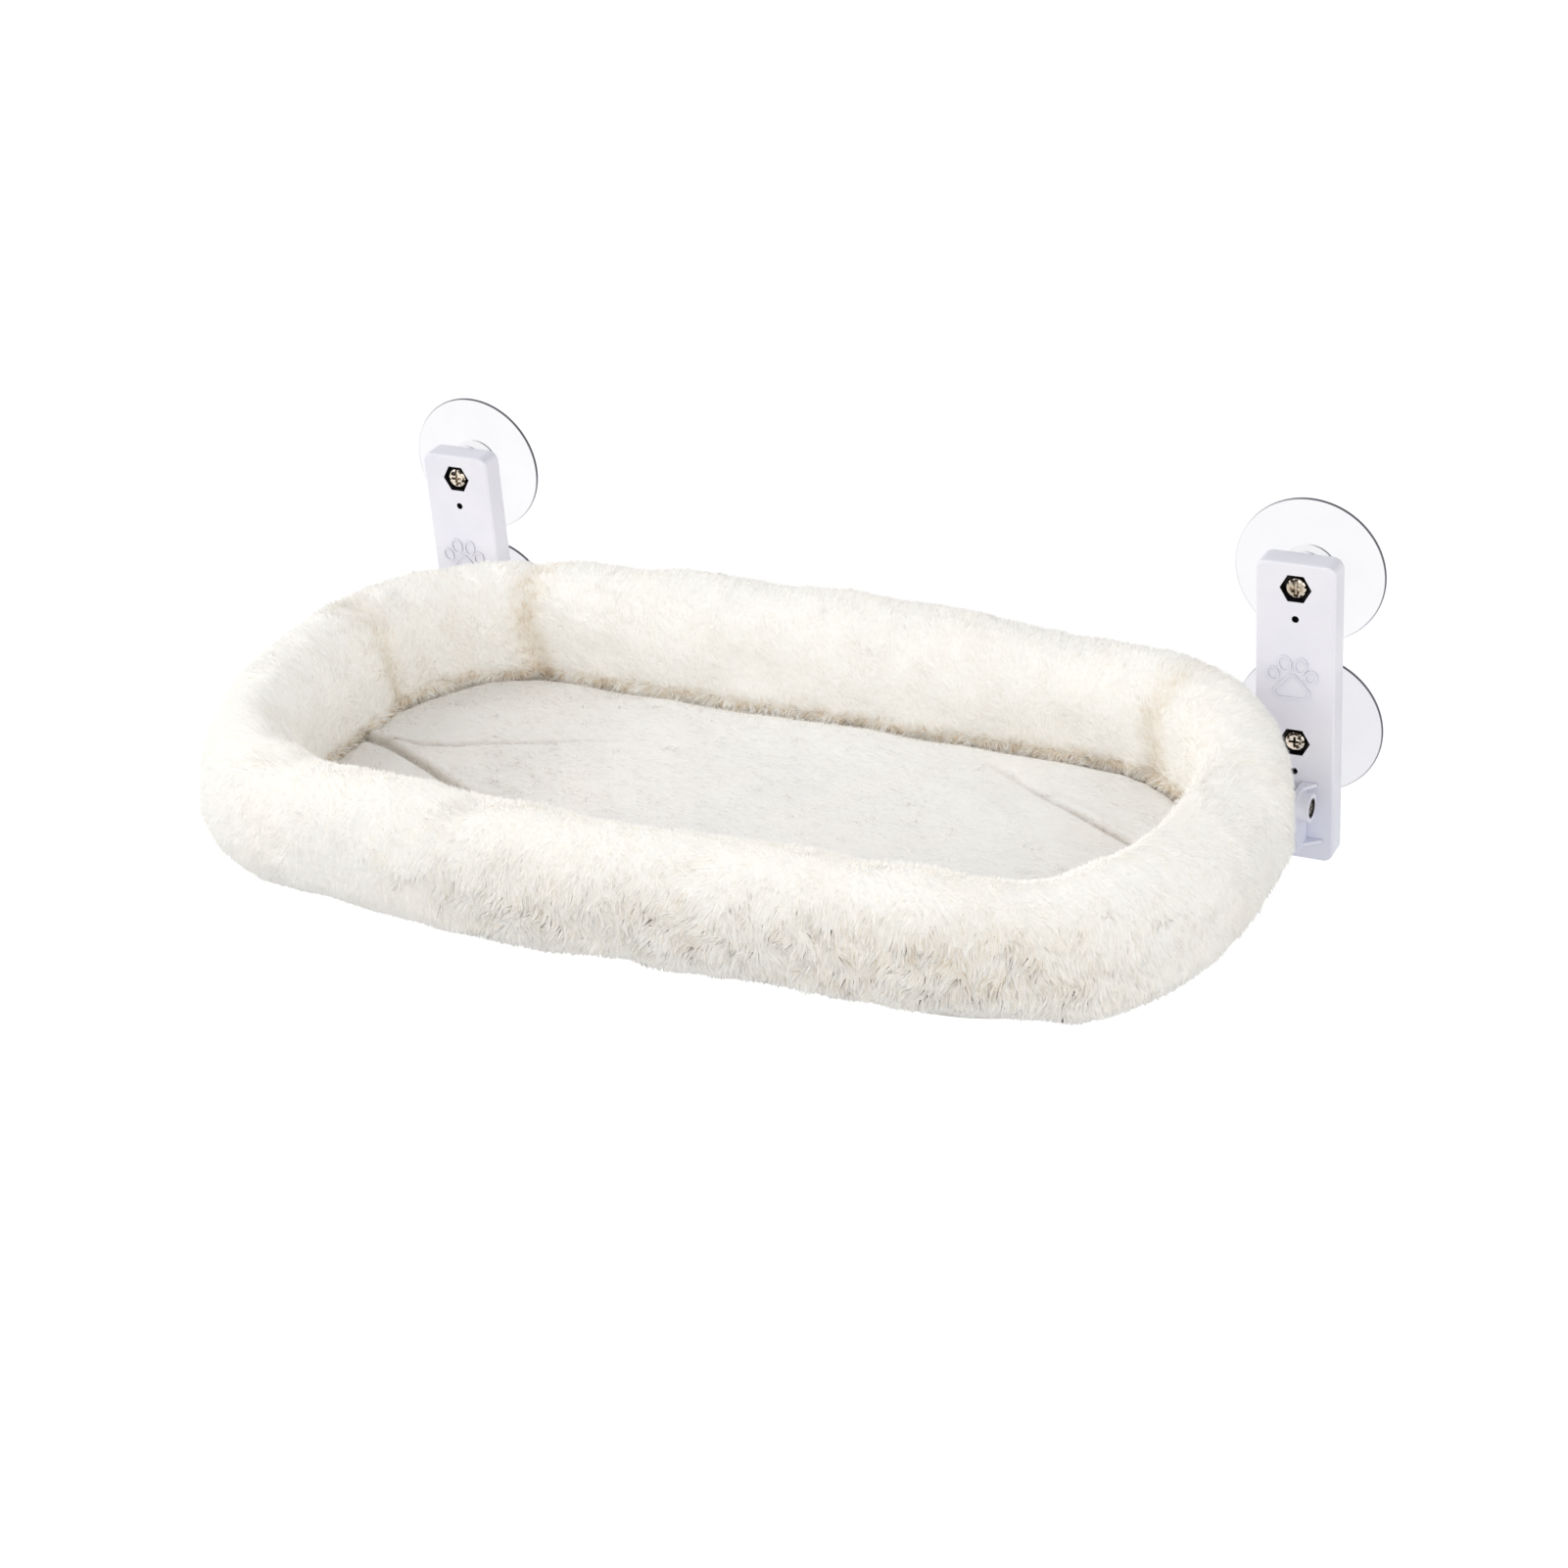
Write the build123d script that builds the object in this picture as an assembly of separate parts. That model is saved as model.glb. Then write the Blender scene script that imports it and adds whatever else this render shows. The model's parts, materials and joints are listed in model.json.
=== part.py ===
from build123d import *
import math
import os

# Window mounted cat perch, all sizes in millimetres.
# Origin: on the window glass, midway between the four suction cups.
# +X along the window to the right, +Y out through the glass, +Z up. The room is at -Y.

# Brackets and their places on the glass
bracket_spacing = 518.0
cup_spacing = 90.5
bracket_width = 44.0
bracket_depth = 14.0
bracket_height = 176.0
bracket_above_screw = 14.75
bracket_corner_radius = 6.0
bracket_edge_round = 1.4
bracket_wall = 2.6
bracket_rib = 2.2
rib_step = 30.0
rib_pairs = 2
glass_gap = 11.3
screw_boss_radius = 11.0
pocket_depth = 6.0
pocket_across_flats = 15.2
pilot_drop = 17.5
pilot_diameter = 4.0

# Raised paw outline on the bracket
paw_width = 27.0
paw_shift = -1.5
paw_drop = 52.0
paw_ridge = 0.9
paw_height = 0.7
# Each toe: centre across and up, width, height (shares of paw_width), lean in degrees
toe_shares = (
    (-0.39, 0.06, 0.25, 0.32, 24),
    (-0.15, 0.30, 0.28, 0.36, 8),
    (0.18, 0.29, 0.27, 0.36, -8),
    (0.39, 0.07, 0.25, 0.31, -24),
)
# Each lobe of the main pad: centre across and up, radius
lobe_shares = ((0.01, -0.04, 0.13), (-0.23, -0.32, 0.14), (0.23, -0.30, 0.14))

# Suction cups
cup_diameter = 83.0
cup_rim_width = 4.0
cup_rim_thickness = 1.1
cup_hub_diameter = 36.0
cup_web_thickness = 2.0
cup_hollow = 2.2
cup_shoulder = 3.0
hollow_middle_share = 0.8
web_sag_share = 0.55
shoulder_round_share = 0.3

# Cup screw, washer and nut, M6
cup_screw_diameter = 6.0
cup_screw_length = 16.0
cup_screw_head = 12.0
cup_screw_head_height = 4.4
washer_diameter = 14.0
washer_thickness = 1.2
cup_nut_flats = 10.0
cup_nut_thickness = 5.0
cup_nut_setback = 0.5

# Shape of every pan head: shares of the head's height, of its diameter and of the shank's diameter
head_round_share = 0.45
recess_depth_share = 0.55
recess_width_share = 0.13
recess_length_share = 0.56
tip_chamfer_share = 0.1

# Hinge at the foot of each bracket, M5
hinge_forward = 12.0
hinge_above_bottom = 39.0
ear_gap = 9.0
ear_thickness = 3.2
ear_radius = 9.0
hinge_boss_diameter = 16.0
hinge_boss_length = 6.3
hinge_bolt_diameter = 5.0
hinge_head_diameter = 9.2
hinge_head_height = 3.0
hinge_recess_depth = 3.8
hinge_nut_flats = 8.0
hinge_nut_thickness = 4.0
hinge_bolt_tail = 0.4
shelf_drop = 24.0
shelf_thickness = 3.0
shelf_depth = 16.0
gusset_thickness = 1.8
gusset_upper_span = 6.5
gusset_lower_span = 10.0
gusset_depth = 8.0

# Arms and the two tubes of the bed frame
arm_thickness = 8.6
barrel_radius = 8.0
heel_length = 19.0
heel_thickness = 8.0
beam_height = 11.5
socket_length = 46.0
socket_wall = 2.4
socket_web = 2.0
tube_rise = 12.0
tube_diameter = 12.0
tube_wall = 1.2
tube_corner_radius = 97.0
frame_depth = 242.0
tube_screw_diameter = 4.0
tube_screw_length = 8.0
tube_screw_head = 7.5
tube_screw_head_height = 2.4
tube_screw_from_end = 11.0

# Soft parts
bolster_width = 59.0
bolster_height = 79.0
bolster_overhang = 11.5
bed_back_gap = 15.4
bolster_split = 165.0
bolster_lower_share = 0.457
# The rim's outline goes through these directions from its centre, in degrees
bolster_angles = (-66, -28, 12, 52, 90, 128, 168, 208, 246)
crease_width = 3.0
crease_depth = 3.0
# Each crease of the rim: corner, counted from rear right, and the share of its quarter turn
crease_shares = ((0, 0.65), (1, 0.22), (1, 0.86))
sling_thickness = 1.6
pad_thickness = 17.0
pad_edge_width = 34.0
pad_edge_height = 11.0
pad_side_gap = 0.6
# Profile of the pad's rim, inwards and up, as shares of pad_edge_width and pad_edge_height
pad_foot_share = 0.1
pad_lower_shares = (0.015, 0.25)
pad_side_share = 0.6
pad_upper_shares = (0.11, 0.97)
pad_shoulder_shares = (0.4, 1.36)
pad_crown_shares = (0.7, 1.5)
# Each fold pressed into the pad: two ends, as shares of its half length and half depth
fold_shares = (((-0.97, -0.01), (-0.56, -0.41)), ((0.49, 0.76), (0.89, 0.26)))
fold_radius = 4.0
fold_depth = 1.6

# Clearances
running = 0.06
thread_gap = 0.05
hole_gap = 0.25
soft_gap = 0.3
stop_gap = 0.2
overrun = 1.0
fuse_depth = 0.5

# Places worked out from the sizes
half_spacing = bracket_spacing / 2
upper_z = cup_spacing / 2
lower_z = -cup_spacing / 2
back_y = -glass_gap
face_y = back_y - bracket_depth
bracket_top = upper_z + bracket_above_screw
bracket_bottom = bracket_top - bracket_height
hinge_y = face_y - hinge_forward
hinge_z = bracket_bottom + hinge_above_bottom
tube_z = hinge_z + tube_rise
loop_x = half_spacing
loop_y = frame_depth / 2
bed_depth = frame_depth + 2 * bolster_overhang + bolster_width
bed_y = -bed_back_gap - bed_depth / 2
sleeve_inner = tube_diameter / 2 + soft_gap
sleeve_outer = sleeve_inner + sling_thickness
sling_top = tube_z + sling_thickness / 2
bolster_bottom = sling_top + soft_gap
bolster_z = bolster_bottom + bolster_height * bolster_lower_share
socket_radius = tube_diameter / 2 + socket_wall
split_y = hinge_y - bolster_split
paw_z = upper_z - paw_drop
ear_outer = ear_gap / 2 + ear_thickness
boss_end = ear_outer + hinge_boss_length
shelf_top = hinge_z - shelf_drop
pocket_floor_y = face_y + pocket_depth
corners = ((1, 1), (-1, 1), (-1, -1), (1, -1))


def block(low, high):
    """A box between two opposite corners."""
    size = [b - a for a, b in zip(low, high)]
    centre = [(a + b) / 2 for a, b in zip(low, high)]
    return Pos(*centre) * Box(*size)


def rod_y(radius, y0, y1, x=0, z=0):
    """A round rod along Y."""
    return Pos(x, (y0 + y1) / 2, z) * Rot(90, 0, 0) * Cylinder(radius, abs(y1 - y0))


def rod_x(radius, x0, x1, y=0, z=0):
    """A round rod along X."""
    return Pos((x0 + x1) / 2, y, z) * Rot(0, 90, 0) * Cylinder(radius, abs(x1 - x0))


def hexagon(across_flats):
    """A flat hexagon with two corners on X."""
    return RegularPolygon(across_flats / math.sqrt(3), 6)


def hex_y(across_flats, y0, y1, x=0, z=0):
    """A hexagonal prism along Y from y0 to y1, two corners on X."""
    prism = extrude(hexagon(across_flats), amount=abs(y1 - y0))
    return Pos(x, max(y0, y1), z) * Rot(90, 0, 0) * prism


def pan_screw(diameter, length, head, head_height):
    """A pan-head cross-recess screw: head from 0 up, shank down."""
    top = Cylinder(head / 2, head_height, align=(Align.CENTER, Align.CENTER, Align.MIN))
    top = fillet(top.faces().sort_by(Axis.Z)[-1].edges(), head_height * head_round_share)
    slot_depth = head_height * recess_depth_share
    slot_width = head * recess_width_share
    slot_length = head * recess_length_share
    for turn in (0, 90):
        slot = Box(slot_length, slot_width, slot_depth, align=(Align.CENTER, Align.CENTER, Align.MAX))
        top -= Pos(0, 0, head_height) * Rot(0, 0, turn) * slot
    shank = Cylinder(diameter / 2, length, align=(Align.CENTER, Align.CENTER, Align.MAX))
    shank = chamfer(shank.faces().sort_by(Axis.Z)[0].edges(), diameter * tip_chamfer_share)
    return top + shank


def around_loop(section, half_x, half_y, radius):
    """A section (across in X, up in Z, drawn about the path) carried round a rounded rectangle."""
    at_radius = Pos(radius, 0, 0) * section
    corner = revolve(at_radius, Axis.Z, 90)
    runs = (2 * (half_x - radius), 2 * (half_y - radius)) * 2
    solids = []
    for number, ((side_x, side_y), run) in enumerate(zip(corners, runs)):
        place = Pos(side_x * (half_x - radius), side_y * (half_y - radius), 0) * Rot(0, 0, 90 * number)
        solids.append(place * corner)
        straight = extrude(at_radius, amount=run, dir=(0, 1, 0))
        solids.append(place * Rot(0, 0, 90) * straight)
    ring = solids[0].fuse(*solids[1:])
    return Pos(0, bed_y, 0) * ring


def upright(face):
    """A face drawn in XY, stood up so that its Y runs along +Z."""
    return Plane.XZ * face


def paw_outline():
    """The raised ridge of four toes and a three-lobed pad, standing on the bracket's face."""
    ridges = Sketch()
    for across, up, wide, high, lean in toe_shares:
        place = Pos(across * paw_width, up * paw_width) * Rot(0, 0, lean)
        outer = Ellipse(wide * paw_width / 2, high * paw_width / 2)
        inner = Ellipse(wide * paw_width / 2 - paw_ridge, high * paw_width / 2 - paw_ridge)
        ridges += place * (outer - inner)
    hulls = []
    for inset in (0, paw_ridge):
        rings = [
            (Pos(across * paw_width, up * paw_width) * Circle(size * paw_width - inset)).edge()
            for across, up, size in lobe_shares
        ]
        hulls.append(make_hull(rings))
    ridges += hulls[0] - hulls[1]
    relief = extrude(upright(ridges), amount=paw_height + fuse_depth)
    return Pos(paw_shift, face_y + fuse_depth, paw_z) * relief


def hinge_ears():
    """Two ears with round bosses, the shelf between them and the side gussets."""
    root_y = face_y + fuse_depth
    edges = [
        (Pos(hinge_y, hinge_z) * Circle(ear_radius)).edge(),
        Line((root_y, hinge_z + ear_radius), (root_y, shelf_top - shelf_thickness)),
        Line((face_y - shelf_depth, shelf_top), (face_y - shelf_depth, shelf_top - shelf_thickness)),
    ]
    profile = Plane.YZ * make_hull(edges)
    ears = Part()
    for x0 in (ear_gap / 2, -ear_outer):
        ears += Pos(x0, 0, 0) * extrude(profile, amount=ear_thickness)
    for side in (1, -1):
        start = side * (ear_outer - fuse_depth)
        ears += rod_x(hinge_boss_diameter / 2, start, side * boss_end, hinge_y, hinge_z)
    shelf_bottom = shelf_top - shelf_thickness
    ears += block((-ear_outer, face_y - shelf_depth, shelf_bottom), (ear_outer, root_y, shelf_top))
    gussets = (
        (hinge_z + ear_radius - gusset_thickness, gusset_upper_span),
        (shelf_bottom, gusset_lower_span),
    )
    for level, span in gussets:
        for side in (1, -1):
            tip = side * (ear_outer + span)
            start = side * (ear_outer - fuse_depth)
            points = ((start, root_y), (tip, root_y), (start, face_y - gusset_depth), (start, root_y))
            gusset = make_face(Polyline(*points))
            ears += Pos(0, 0, level) * extrude(gusset, amount=gusset_thickness, dir=(0, 0, 1))
    return ears


def bracket():
    """One bracket about x = 0: an open-backed moulding with screw bosses, ribs, paw and hinge ears."""
    middle_z = (bracket_top + bracket_bottom) / 2
    outline = RectangleRounded(bracket_width, bracket_height, bracket_corner_radius)
    body = extrude(upright(outline), amount=bracket_depth)
    body = fillet(body.faces().sort_by(Axis.Y)[0].edges(), bracket_edge_round)
    hollow_width = bracket_width - 2 * bracket_wall
    hollow_height = bracket_height - 2 * bracket_wall
    hollow_outline = RectangleRounded(hollow_width, hollow_height, bracket_corner_radius - bracket_wall)
    body -= extrude(upright(hollow_outline), amount=bracket_depth - bracket_wall)
    body = Pos(0, back_y, middle_z) * body
    inside = bracket_width / 2 - bracket_wall / 2
    rib_front = face_y + fuse_depth
    for step in range(-rib_pairs, rib_pairs + 1):
        z = middle_z + step * rib_step
        body += block((-inside, rib_front, z - bracket_rib / 2), (inside, back_y, z + bracket_rib / 2))
    for z in (upper_z, lower_z):
        body += rod_y(screw_boss_radius, face_y + fuse_depth, back_y, 0, z)
    body += hinge_ears()
    body += paw_outline()
    for z in (upper_z, lower_z):
        body -= hex_y(pocket_across_flats, face_y - overrun, pocket_floor_y, 0, z)
        body -= rod_y(cup_screw_diameter / 2 + hole_gap, face_y, back_y + overrun, 0, z)
        pilot_end = face_y + bracket_wall + overrun
        body -= rod_y(pilot_diameter / 2, face_y - overrun, pilot_end, 0, z - pilot_drop)
    bolt_hole = hinge_bolt_diameter / 2 + hole_gap / 2
    body -= rod_x(bolt_hole, -boss_end - overrun, boss_end + overrun, hinge_y, hinge_z)
    head_hole = hinge_head_diameter / 2 + hole_gap
    body -= rod_x(head_hole, boss_end - hinge_recess_depth, boss_end + overrun, hinge_y, hinge_z)
    nut_start = -boss_end - overrun
    nut_hole = extrude(hexagon(hinge_nut_flats + hole_gap), amount=hinge_recess_depth + overrun)
    body -= Pos(nut_start, hinge_y, hinge_z) * Rot(0, 90, 0) * nut_hole
    return body


def cup_nut():
    """The hexagonal nut moulded into the cup's hub."""
    start = back_y + cup_nut_setback
    end = start + cup_nut_thickness
    nut = hex_y(cup_nut_flats, start, end)
    return nut - rod_y(cup_screw_diameter / 2 + thread_gap, start - overrun, end + overrun)


def suction_cup():
    """One clear cup about its screw axis: flat sealing rim on the glass, shallow hollow, round hub."""
    rim = cup_diameter / 2
    hub = cup_hub_diameter / 2
    web_y = -cup_hollow - cup_web_thickness
    hollow_rim = rim - cup_rim_width
    lines = [
        Line((0, -cup_hollow), (hub, -cup_hollow)),
        ThreePointArc(
            (hub, -cup_hollow),
            ((hub + hollow_rim) / 2, -cup_hollow * hollow_middle_share),
            (hollow_rim, 0),
        ),
        Line((hollow_rim, 0), (rim, 0)),
        Line((rim, 0), (rim, -cup_rim_thickness)),
        ThreePointArc(
            (rim, -cup_rim_thickness),
            ((rim + hub + cup_shoulder) / 2, (web_y - cup_rim_thickness) * web_sag_share),
            (hub + cup_shoulder, web_y),
        ),
        ThreePointArc(
            (hub + cup_shoulder, web_y),
            (hub + cup_shoulder * shoulder_round_share, web_y - cup_shoulder * shoulder_round_share),
            (hub, web_y - cup_shoulder),
        ),
        Line((hub, web_y - cup_shoulder), (hub, back_y)),
        Line((hub, back_y), (0, back_y)),
        Line((0, back_y), (0, -cup_hollow)),
    ]
    cup = revolve(make_face(lines), Axis.Y, 360)
    nut_start = back_y + cup_nut_setback
    cup -= hex_y(cup_nut_flats, nut_start, nut_start + cup_nut_thickness)
    screw_end = pocket_floor_y - washer_thickness + cup_screw_length
    return cup - rod_y(cup_screw_diameter / 2 + hole_gap, back_y - overrun, screw_end + hole_gap)


def cup_washer():
    """The plain washer at the bottom of the hexagonal pocket."""
    start = pocket_floor_y - washer_thickness
    ring = rod_y(washer_diameter / 2, start, pocket_floor_y)
    return ring - rod_y(cup_screw_diameter / 2 + hole_gap, start - overrun, pocket_floor_y + overrun)


def cup_screw():
    """The screw that draws the cup's nut against the bracket."""
    screw = pan_screw(cup_screw_diameter, cup_screw_length, cup_screw_head, cup_screw_head_height)
    return Pos(0, pocket_floor_y - washer_thickness, 0) * Rot(90, 0, 0) * screw


def hinge_bolt():
    """The hinge bolt along X, its head sunk in the boss on the +X side."""
    seat = boss_end - hinge_recess_depth
    length = 2 * seat + hinge_nut_thickness + hinge_bolt_tail
    bolt = pan_screw(hinge_bolt_diameter, length, hinge_head_diameter, hinge_head_height)
    return Pos(seat, hinge_y, hinge_z) * Rot(0, 90, 0) * bolt


def hinge_nut():
    """The hinge nut, held from turning by its hexagonal recess on the -X side."""
    seat = -(boss_end - hinge_recess_depth)
    nut = extrude(hexagon(hinge_nut_flats), amount=hinge_nut_thickness)
    nut = Pos(seat - hinge_nut_thickness, hinge_y, hinge_z) * Rot(0, 90, 0) * nut
    bore = hinge_bolt_diameter / 2 + thread_gap
    return nut - rod_x(bore, seat - hinge_nut_thickness - overrun, seat + overrun, hinge_y, hinge_z)


def arm(outward):
    """One arm about x = 0: barrel and heel at the hinge, a beam, and the socket that takes both tubes."""
    half = arm_thickness / 2
    beam_top = tube_z - sleeve_outer - soft_gap
    socket_front = bed_y - socket_length / 2
    socket_back = bed_y + socket_length / 2
    body = rod_x(barrel_radius, -half, half, hinge_y, hinge_z)
    heel_y = face_y - stop_gap
    body += block((-half, heel_y - heel_thickness, hinge_z - heel_length), (half, heel_y, hinge_z))
    nose_radius = beam_height / 2
    body += block((-half, socket_front + nose_radius, beam_top - beam_height), (half, hinge_y, beam_top))
    body += rod_x(nose_radius, -half, half, socket_front + nose_radius, beam_top - nose_radius)
    body += block((-half, socket_front + nose_radius, beam_top - nose_radius), (half, socket_back, tube_z))
    body += rod_y(socket_radius, socket_front, socket_back, 0, tube_z)
    bore = tube_diameter / 2 + running
    body -= rod_y(bore, socket_front - overrun, bed_y - socket_web / 2, 0, tube_z)
    body -= rod_y(bore, bed_y + socket_web / 2, socket_back + overrun, 0, tube_z)
    body -= rod_x(hinge_bolt_diameter / 2 + running, -half - overrun, half + overrun, hinge_y, hinge_z)
    seat = outward * (socket_radius - tube_screw_head_height / 2)
    end = outward * (socket_radius + overrun)
    for y in (bed_y - tube_screw_from_end, bed_y + tube_screw_from_end):
        body -= rod_x(tube_screw_diameter / 2 + thread_gap, 0, end, y, tube_z)
        body -= rod_x(tube_screw_head / 2 + hole_gap, seat, end, y, tube_z)
    return body


def tube_screws(outward):
    """The two short screws that lock the tubes in one arm's socket."""
    seat = outward * (socket_radius - tube_screw_head_height / 2)
    screws = []
    for y in (bed_y - tube_screw_from_end, bed_y + tube_screw_from_end):
        screw = pan_screw(tube_screw_diameter, tube_screw_length, tube_screw_head, tube_screw_head_height)
        screws.append(Pos(seat, y, tube_z) * Rot(0, 90 * outward, 0) * screw)
    return screws


def ring_of(radius):
    """A solid round bar that follows the frame's loop."""
    return around_loop(upright(Pos(0, tube_z) * Circle(radius)), loop_x, loop_y, tube_corner_radius)


def frame_tube(side):
    """Half of the tube loop, side -1 the front and +1 the rear, with its ends in the arm sockets."""
    outer = upright(Pos(0, tube_z) * Circle(tube_diameter / 2))
    inner = upright(Pos(0, tube_z) * Circle(tube_diameter / 2 - tube_wall))
    loop = around_loop(outer - inner, loop_x, loop_y, tube_corner_radius)
    reach = loop_x + bolster_width
    near = bed_y + side * socket_web / 2
    far = bed_y + side * bed_depth
    low = (-reach, min(near, far), tube_z - tube_diameter)
    half = loop & block(low, (reach, max(near, far), tube_z + tube_diameter))
    y = bed_y + side * tube_screw_from_end
    for sign in (1, -1):
        hole = tube_screw_diameter / 2 + thread_gap
        half -= rod_x(hole, sign * loop_x, sign * (loop_x + tube_diameter), y, tube_z)
    return half


def sling():
    """The fabric floor: a flat sheet whose hem is a sleeve round the tubes, open at the arm sockets."""
    sheet = Pos(0, bed_y, tube_z) * extrude(
        RectangleRounded(2 * loop_x, 2 * loop_y, tube_corner_radius), amount=sling_thickness / 2, both=True
    )
    cloth = sheet + ring_of(sleeve_outer)
    cloth -= ring_of(sleeve_inner)
    gap = socket_length / 2 + soft_gap
    inner_x = loop_x - socket_radius - soft_gap
    outer_x = loop_x + socket_radius + tube_screw_head
    for sign in (1, -1):
        xs = sorted((sign * inner_x, sign * outer_x))
        low = (xs[0], bed_y - gap, tube_z - socket_radius)
        cloth -= block(low, (xs[1], bed_y + gap, tube_z + socket_radius))
    return cloth


def bolster_section(width, height):
    """The bolster's cut: an upright oval of eight arcs, cut flat below, drawn about its centre."""
    def at(angle):
        return (width / 2 * math.cos(math.radians(angle)), height / 2 * math.sin(math.radians(angle)))
    pairs = zip(bolster_angles[:-1], bolster_angles[1:])
    arcs = [ThreePointArc(at(a), at((a + b) / 2), at(b)) for a, b in pairs]
    arcs.append(Line(at(bolster_angles[-1]), at(bolster_angles[0])))
    return make_face(arcs)


def creases():
    """Shallow creases across the bolster, where its rear corners gather."""
    wide = bolster_section(bolster_width + crease_width, bolster_height + crease_width)
    deep = bolster_section(bolster_width - 2 * crease_depth, bolster_height - 2 * crease_depth)
    blade = upright(wide - deep)
    centre_radius = tube_corner_radius + bolster_overhang
    cut = extrude(Pos(centre_radius, 0, 0) * blade, amount=crease_width / 2, both=True)
    tools = []
    for number, turn_share in crease_shares:
        side_x, side_y = corners[number]
        x = side_x * (loop_x - tube_corner_radius)
        y = side_y * (loop_y - tube_corner_radius) + bed_y
        tools.append(Pos(x, y, bolster_z) * Rot(0, 0, 90 * (number + turn_share)) * cut)
    return tools


def bolster():
    """The whole stuffed rim, with its underside channel for the sleeved tube and the arm sockets."""
    section = upright(Pos(0, bolster_z) * bolster_section(bolster_width, bolster_height))
    rim = around_loop(
        section,
        loop_x + bolster_overhang,
        loop_y + bolster_overhang,
        tube_corner_radius + bolster_overhang,
    )
    rim -= ring_of(sleeve_outer + soft_gap)
    gap = socket_length / 2 + soft_gap
    inner_x = loop_x - socket_radius - soft_gap
    outer_x = loop_x + socket_radius + tube_screw_head_height
    for sign in (1, -1):
        xs = sorted((sign * inner_x, sign * outer_x))
        low = (xs[0], bed_y - gap, tube_z - socket_radius)
        rim -= block(low, (xs[1], bed_y + gap, tube_z + socket_radius + soft_gap))
    for tool in creases():
        rim -= tool
    return rim


def bolster_part(rim, side):
    """The rim in front of the split (side -1) or behind it (side +1)."""
    reach = bracket_spacing
    far = split_y + side * bed_depth
    low = (-reach, min(split_y, far), bolster_z - bolster_height)
    return rim & block(low, (reach, max(split_y, far), bolster_z + bolster_height))


def fold(start, end, surface_z):
    """A long round-ended tool that presses one shallow fold into the pad's top."""
    run = Vector(*end) - Vector(*start)
    turn = math.degrees(math.atan2(run.Y, run.X))
    bar = Rot(0, 90, 0) * Cylinder(fold_radius, run.length, align=(Align.CENTER, Align.CENTER, Align.MIN))
    bar += Sphere(fold_radius)
    bar += Pos(run.length, 0, 0) * Sphere(fold_radius)
    return Pos(start[0], start[1], surface_z + fold_radius - fold_depth) * Rot(0, 0, turn) * bar


def seat_pad():
    """The loose floor pad: flat below, crowned towards its rounded rim, inside the bolster."""
    inset = bolster_width / 2 - bolster_overhang + pad_side_gap
    half_x = loop_x - inset
    half_y = loop_y - inset
    radius = tube_corner_radius - inset

    def at(shares):
        return (-pad_edge_width * shares[0], pad_edge_height * shares[1])
    foot = at((pad_foot_share, 0))
    side = at((0, pad_side_share))
    shoulder = at(pad_shoulder_shares)
    profile = make_face([
        Line((-pad_edge_width, 0), foot),
        ThreePointArc(foot, at(pad_lower_shares), side),
        ThreePointArc(side, at(pad_upper_shares), shoulder),
        ThreePointArc(shoulder, at(pad_crown_shares), (-pad_edge_width, pad_thickness)),
        Line((-pad_edge_width, pad_thickness), (-pad_edge_width, 0)),
    ])
    rim = around_loop(upright(Pos(0, sling_top) * profile), half_x, half_y, radius)
    middle = RectangleRounded(
        2 * (half_x - pad_edge_width), 2 * (half_y - pad_edge_width), radius - pad_edge_width
    )
    pad = rim + Pos(0, bed_y, sling_top) * extrude(middle, amount=pad_thickness)
    for ends in fold_shares:
        start, end = [(across * half_x, bed_y + along * half_y) for across, along in ends]
        pad -= fold(start, end, sling_top + pad_thickness)
    return pad


def write(name, shape):
    """Write one piece, or a list of alike pieces, as its own file."""
    pieces = shape if isinstance(shape, list) else [shape]
    solids = [solid for piece in pieces for solid in piece.solids()]
    export_step(Compound(children=solids), f"parts/{name}.step")


os.makedirs("parts", exist_ok=True)

sides = (("left", -1), ("right", 1))
levels = (("upper", upper_z), ("lower", lower_z))
bracket_shape = bracket()
for side_name, sign in sides:
    across = Pos(sign * half_spacing, 0, 0)
    write(f"{side_name}_bracket", across * bracket_shape)
    for level_name, z in levels:
        place = Pos(sign * half_spacing, 0, z)
        name = f"{side_name}_{level_name}"
        write(f"{name}_cup", place * suction_cup())
        write(f"{name}_cup_nut", place * cup_nut())
        write(f"{name}_cup_washer", place * cup_washer())
        write(f"{name}_cup_screw", place * cup_screw())
    write(f"{side_name}_hinge_bolt", across * hinge_bolt())
    write(f"{side_name}_hinge_nut", across * hinge_nut())
    write(f"{side_name}_arm", across * arm(sign))
    write(f"{side_name}_tube_screws", [across * screw for screw in tube_screws(sign)])
write("front_tube", frame_tube(-1))
write("rear_tube", frame_tube(1))
write("sling", sling())
write("seat_pad", seat_pad())
rim = bolster()
write("front_bolster", bolster_part(rim, -1))
write("rear_bolster", bolster_part(rim, 1))
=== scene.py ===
# %% [markdown]
# # A window mounted cat perch
# A stuffed plush bed hangs on a window by two slim brackets and four suction cups.
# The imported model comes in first. Its brackets, arms, tubes, screws and cups keep
# their shapes and get materials. The soft parts are made here as new surfaces,
# in the same place as the plain solids that they stand for.

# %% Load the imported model
import json
import bmesh
import bpy
import numpy as np
from mathutils import Matrix


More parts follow.
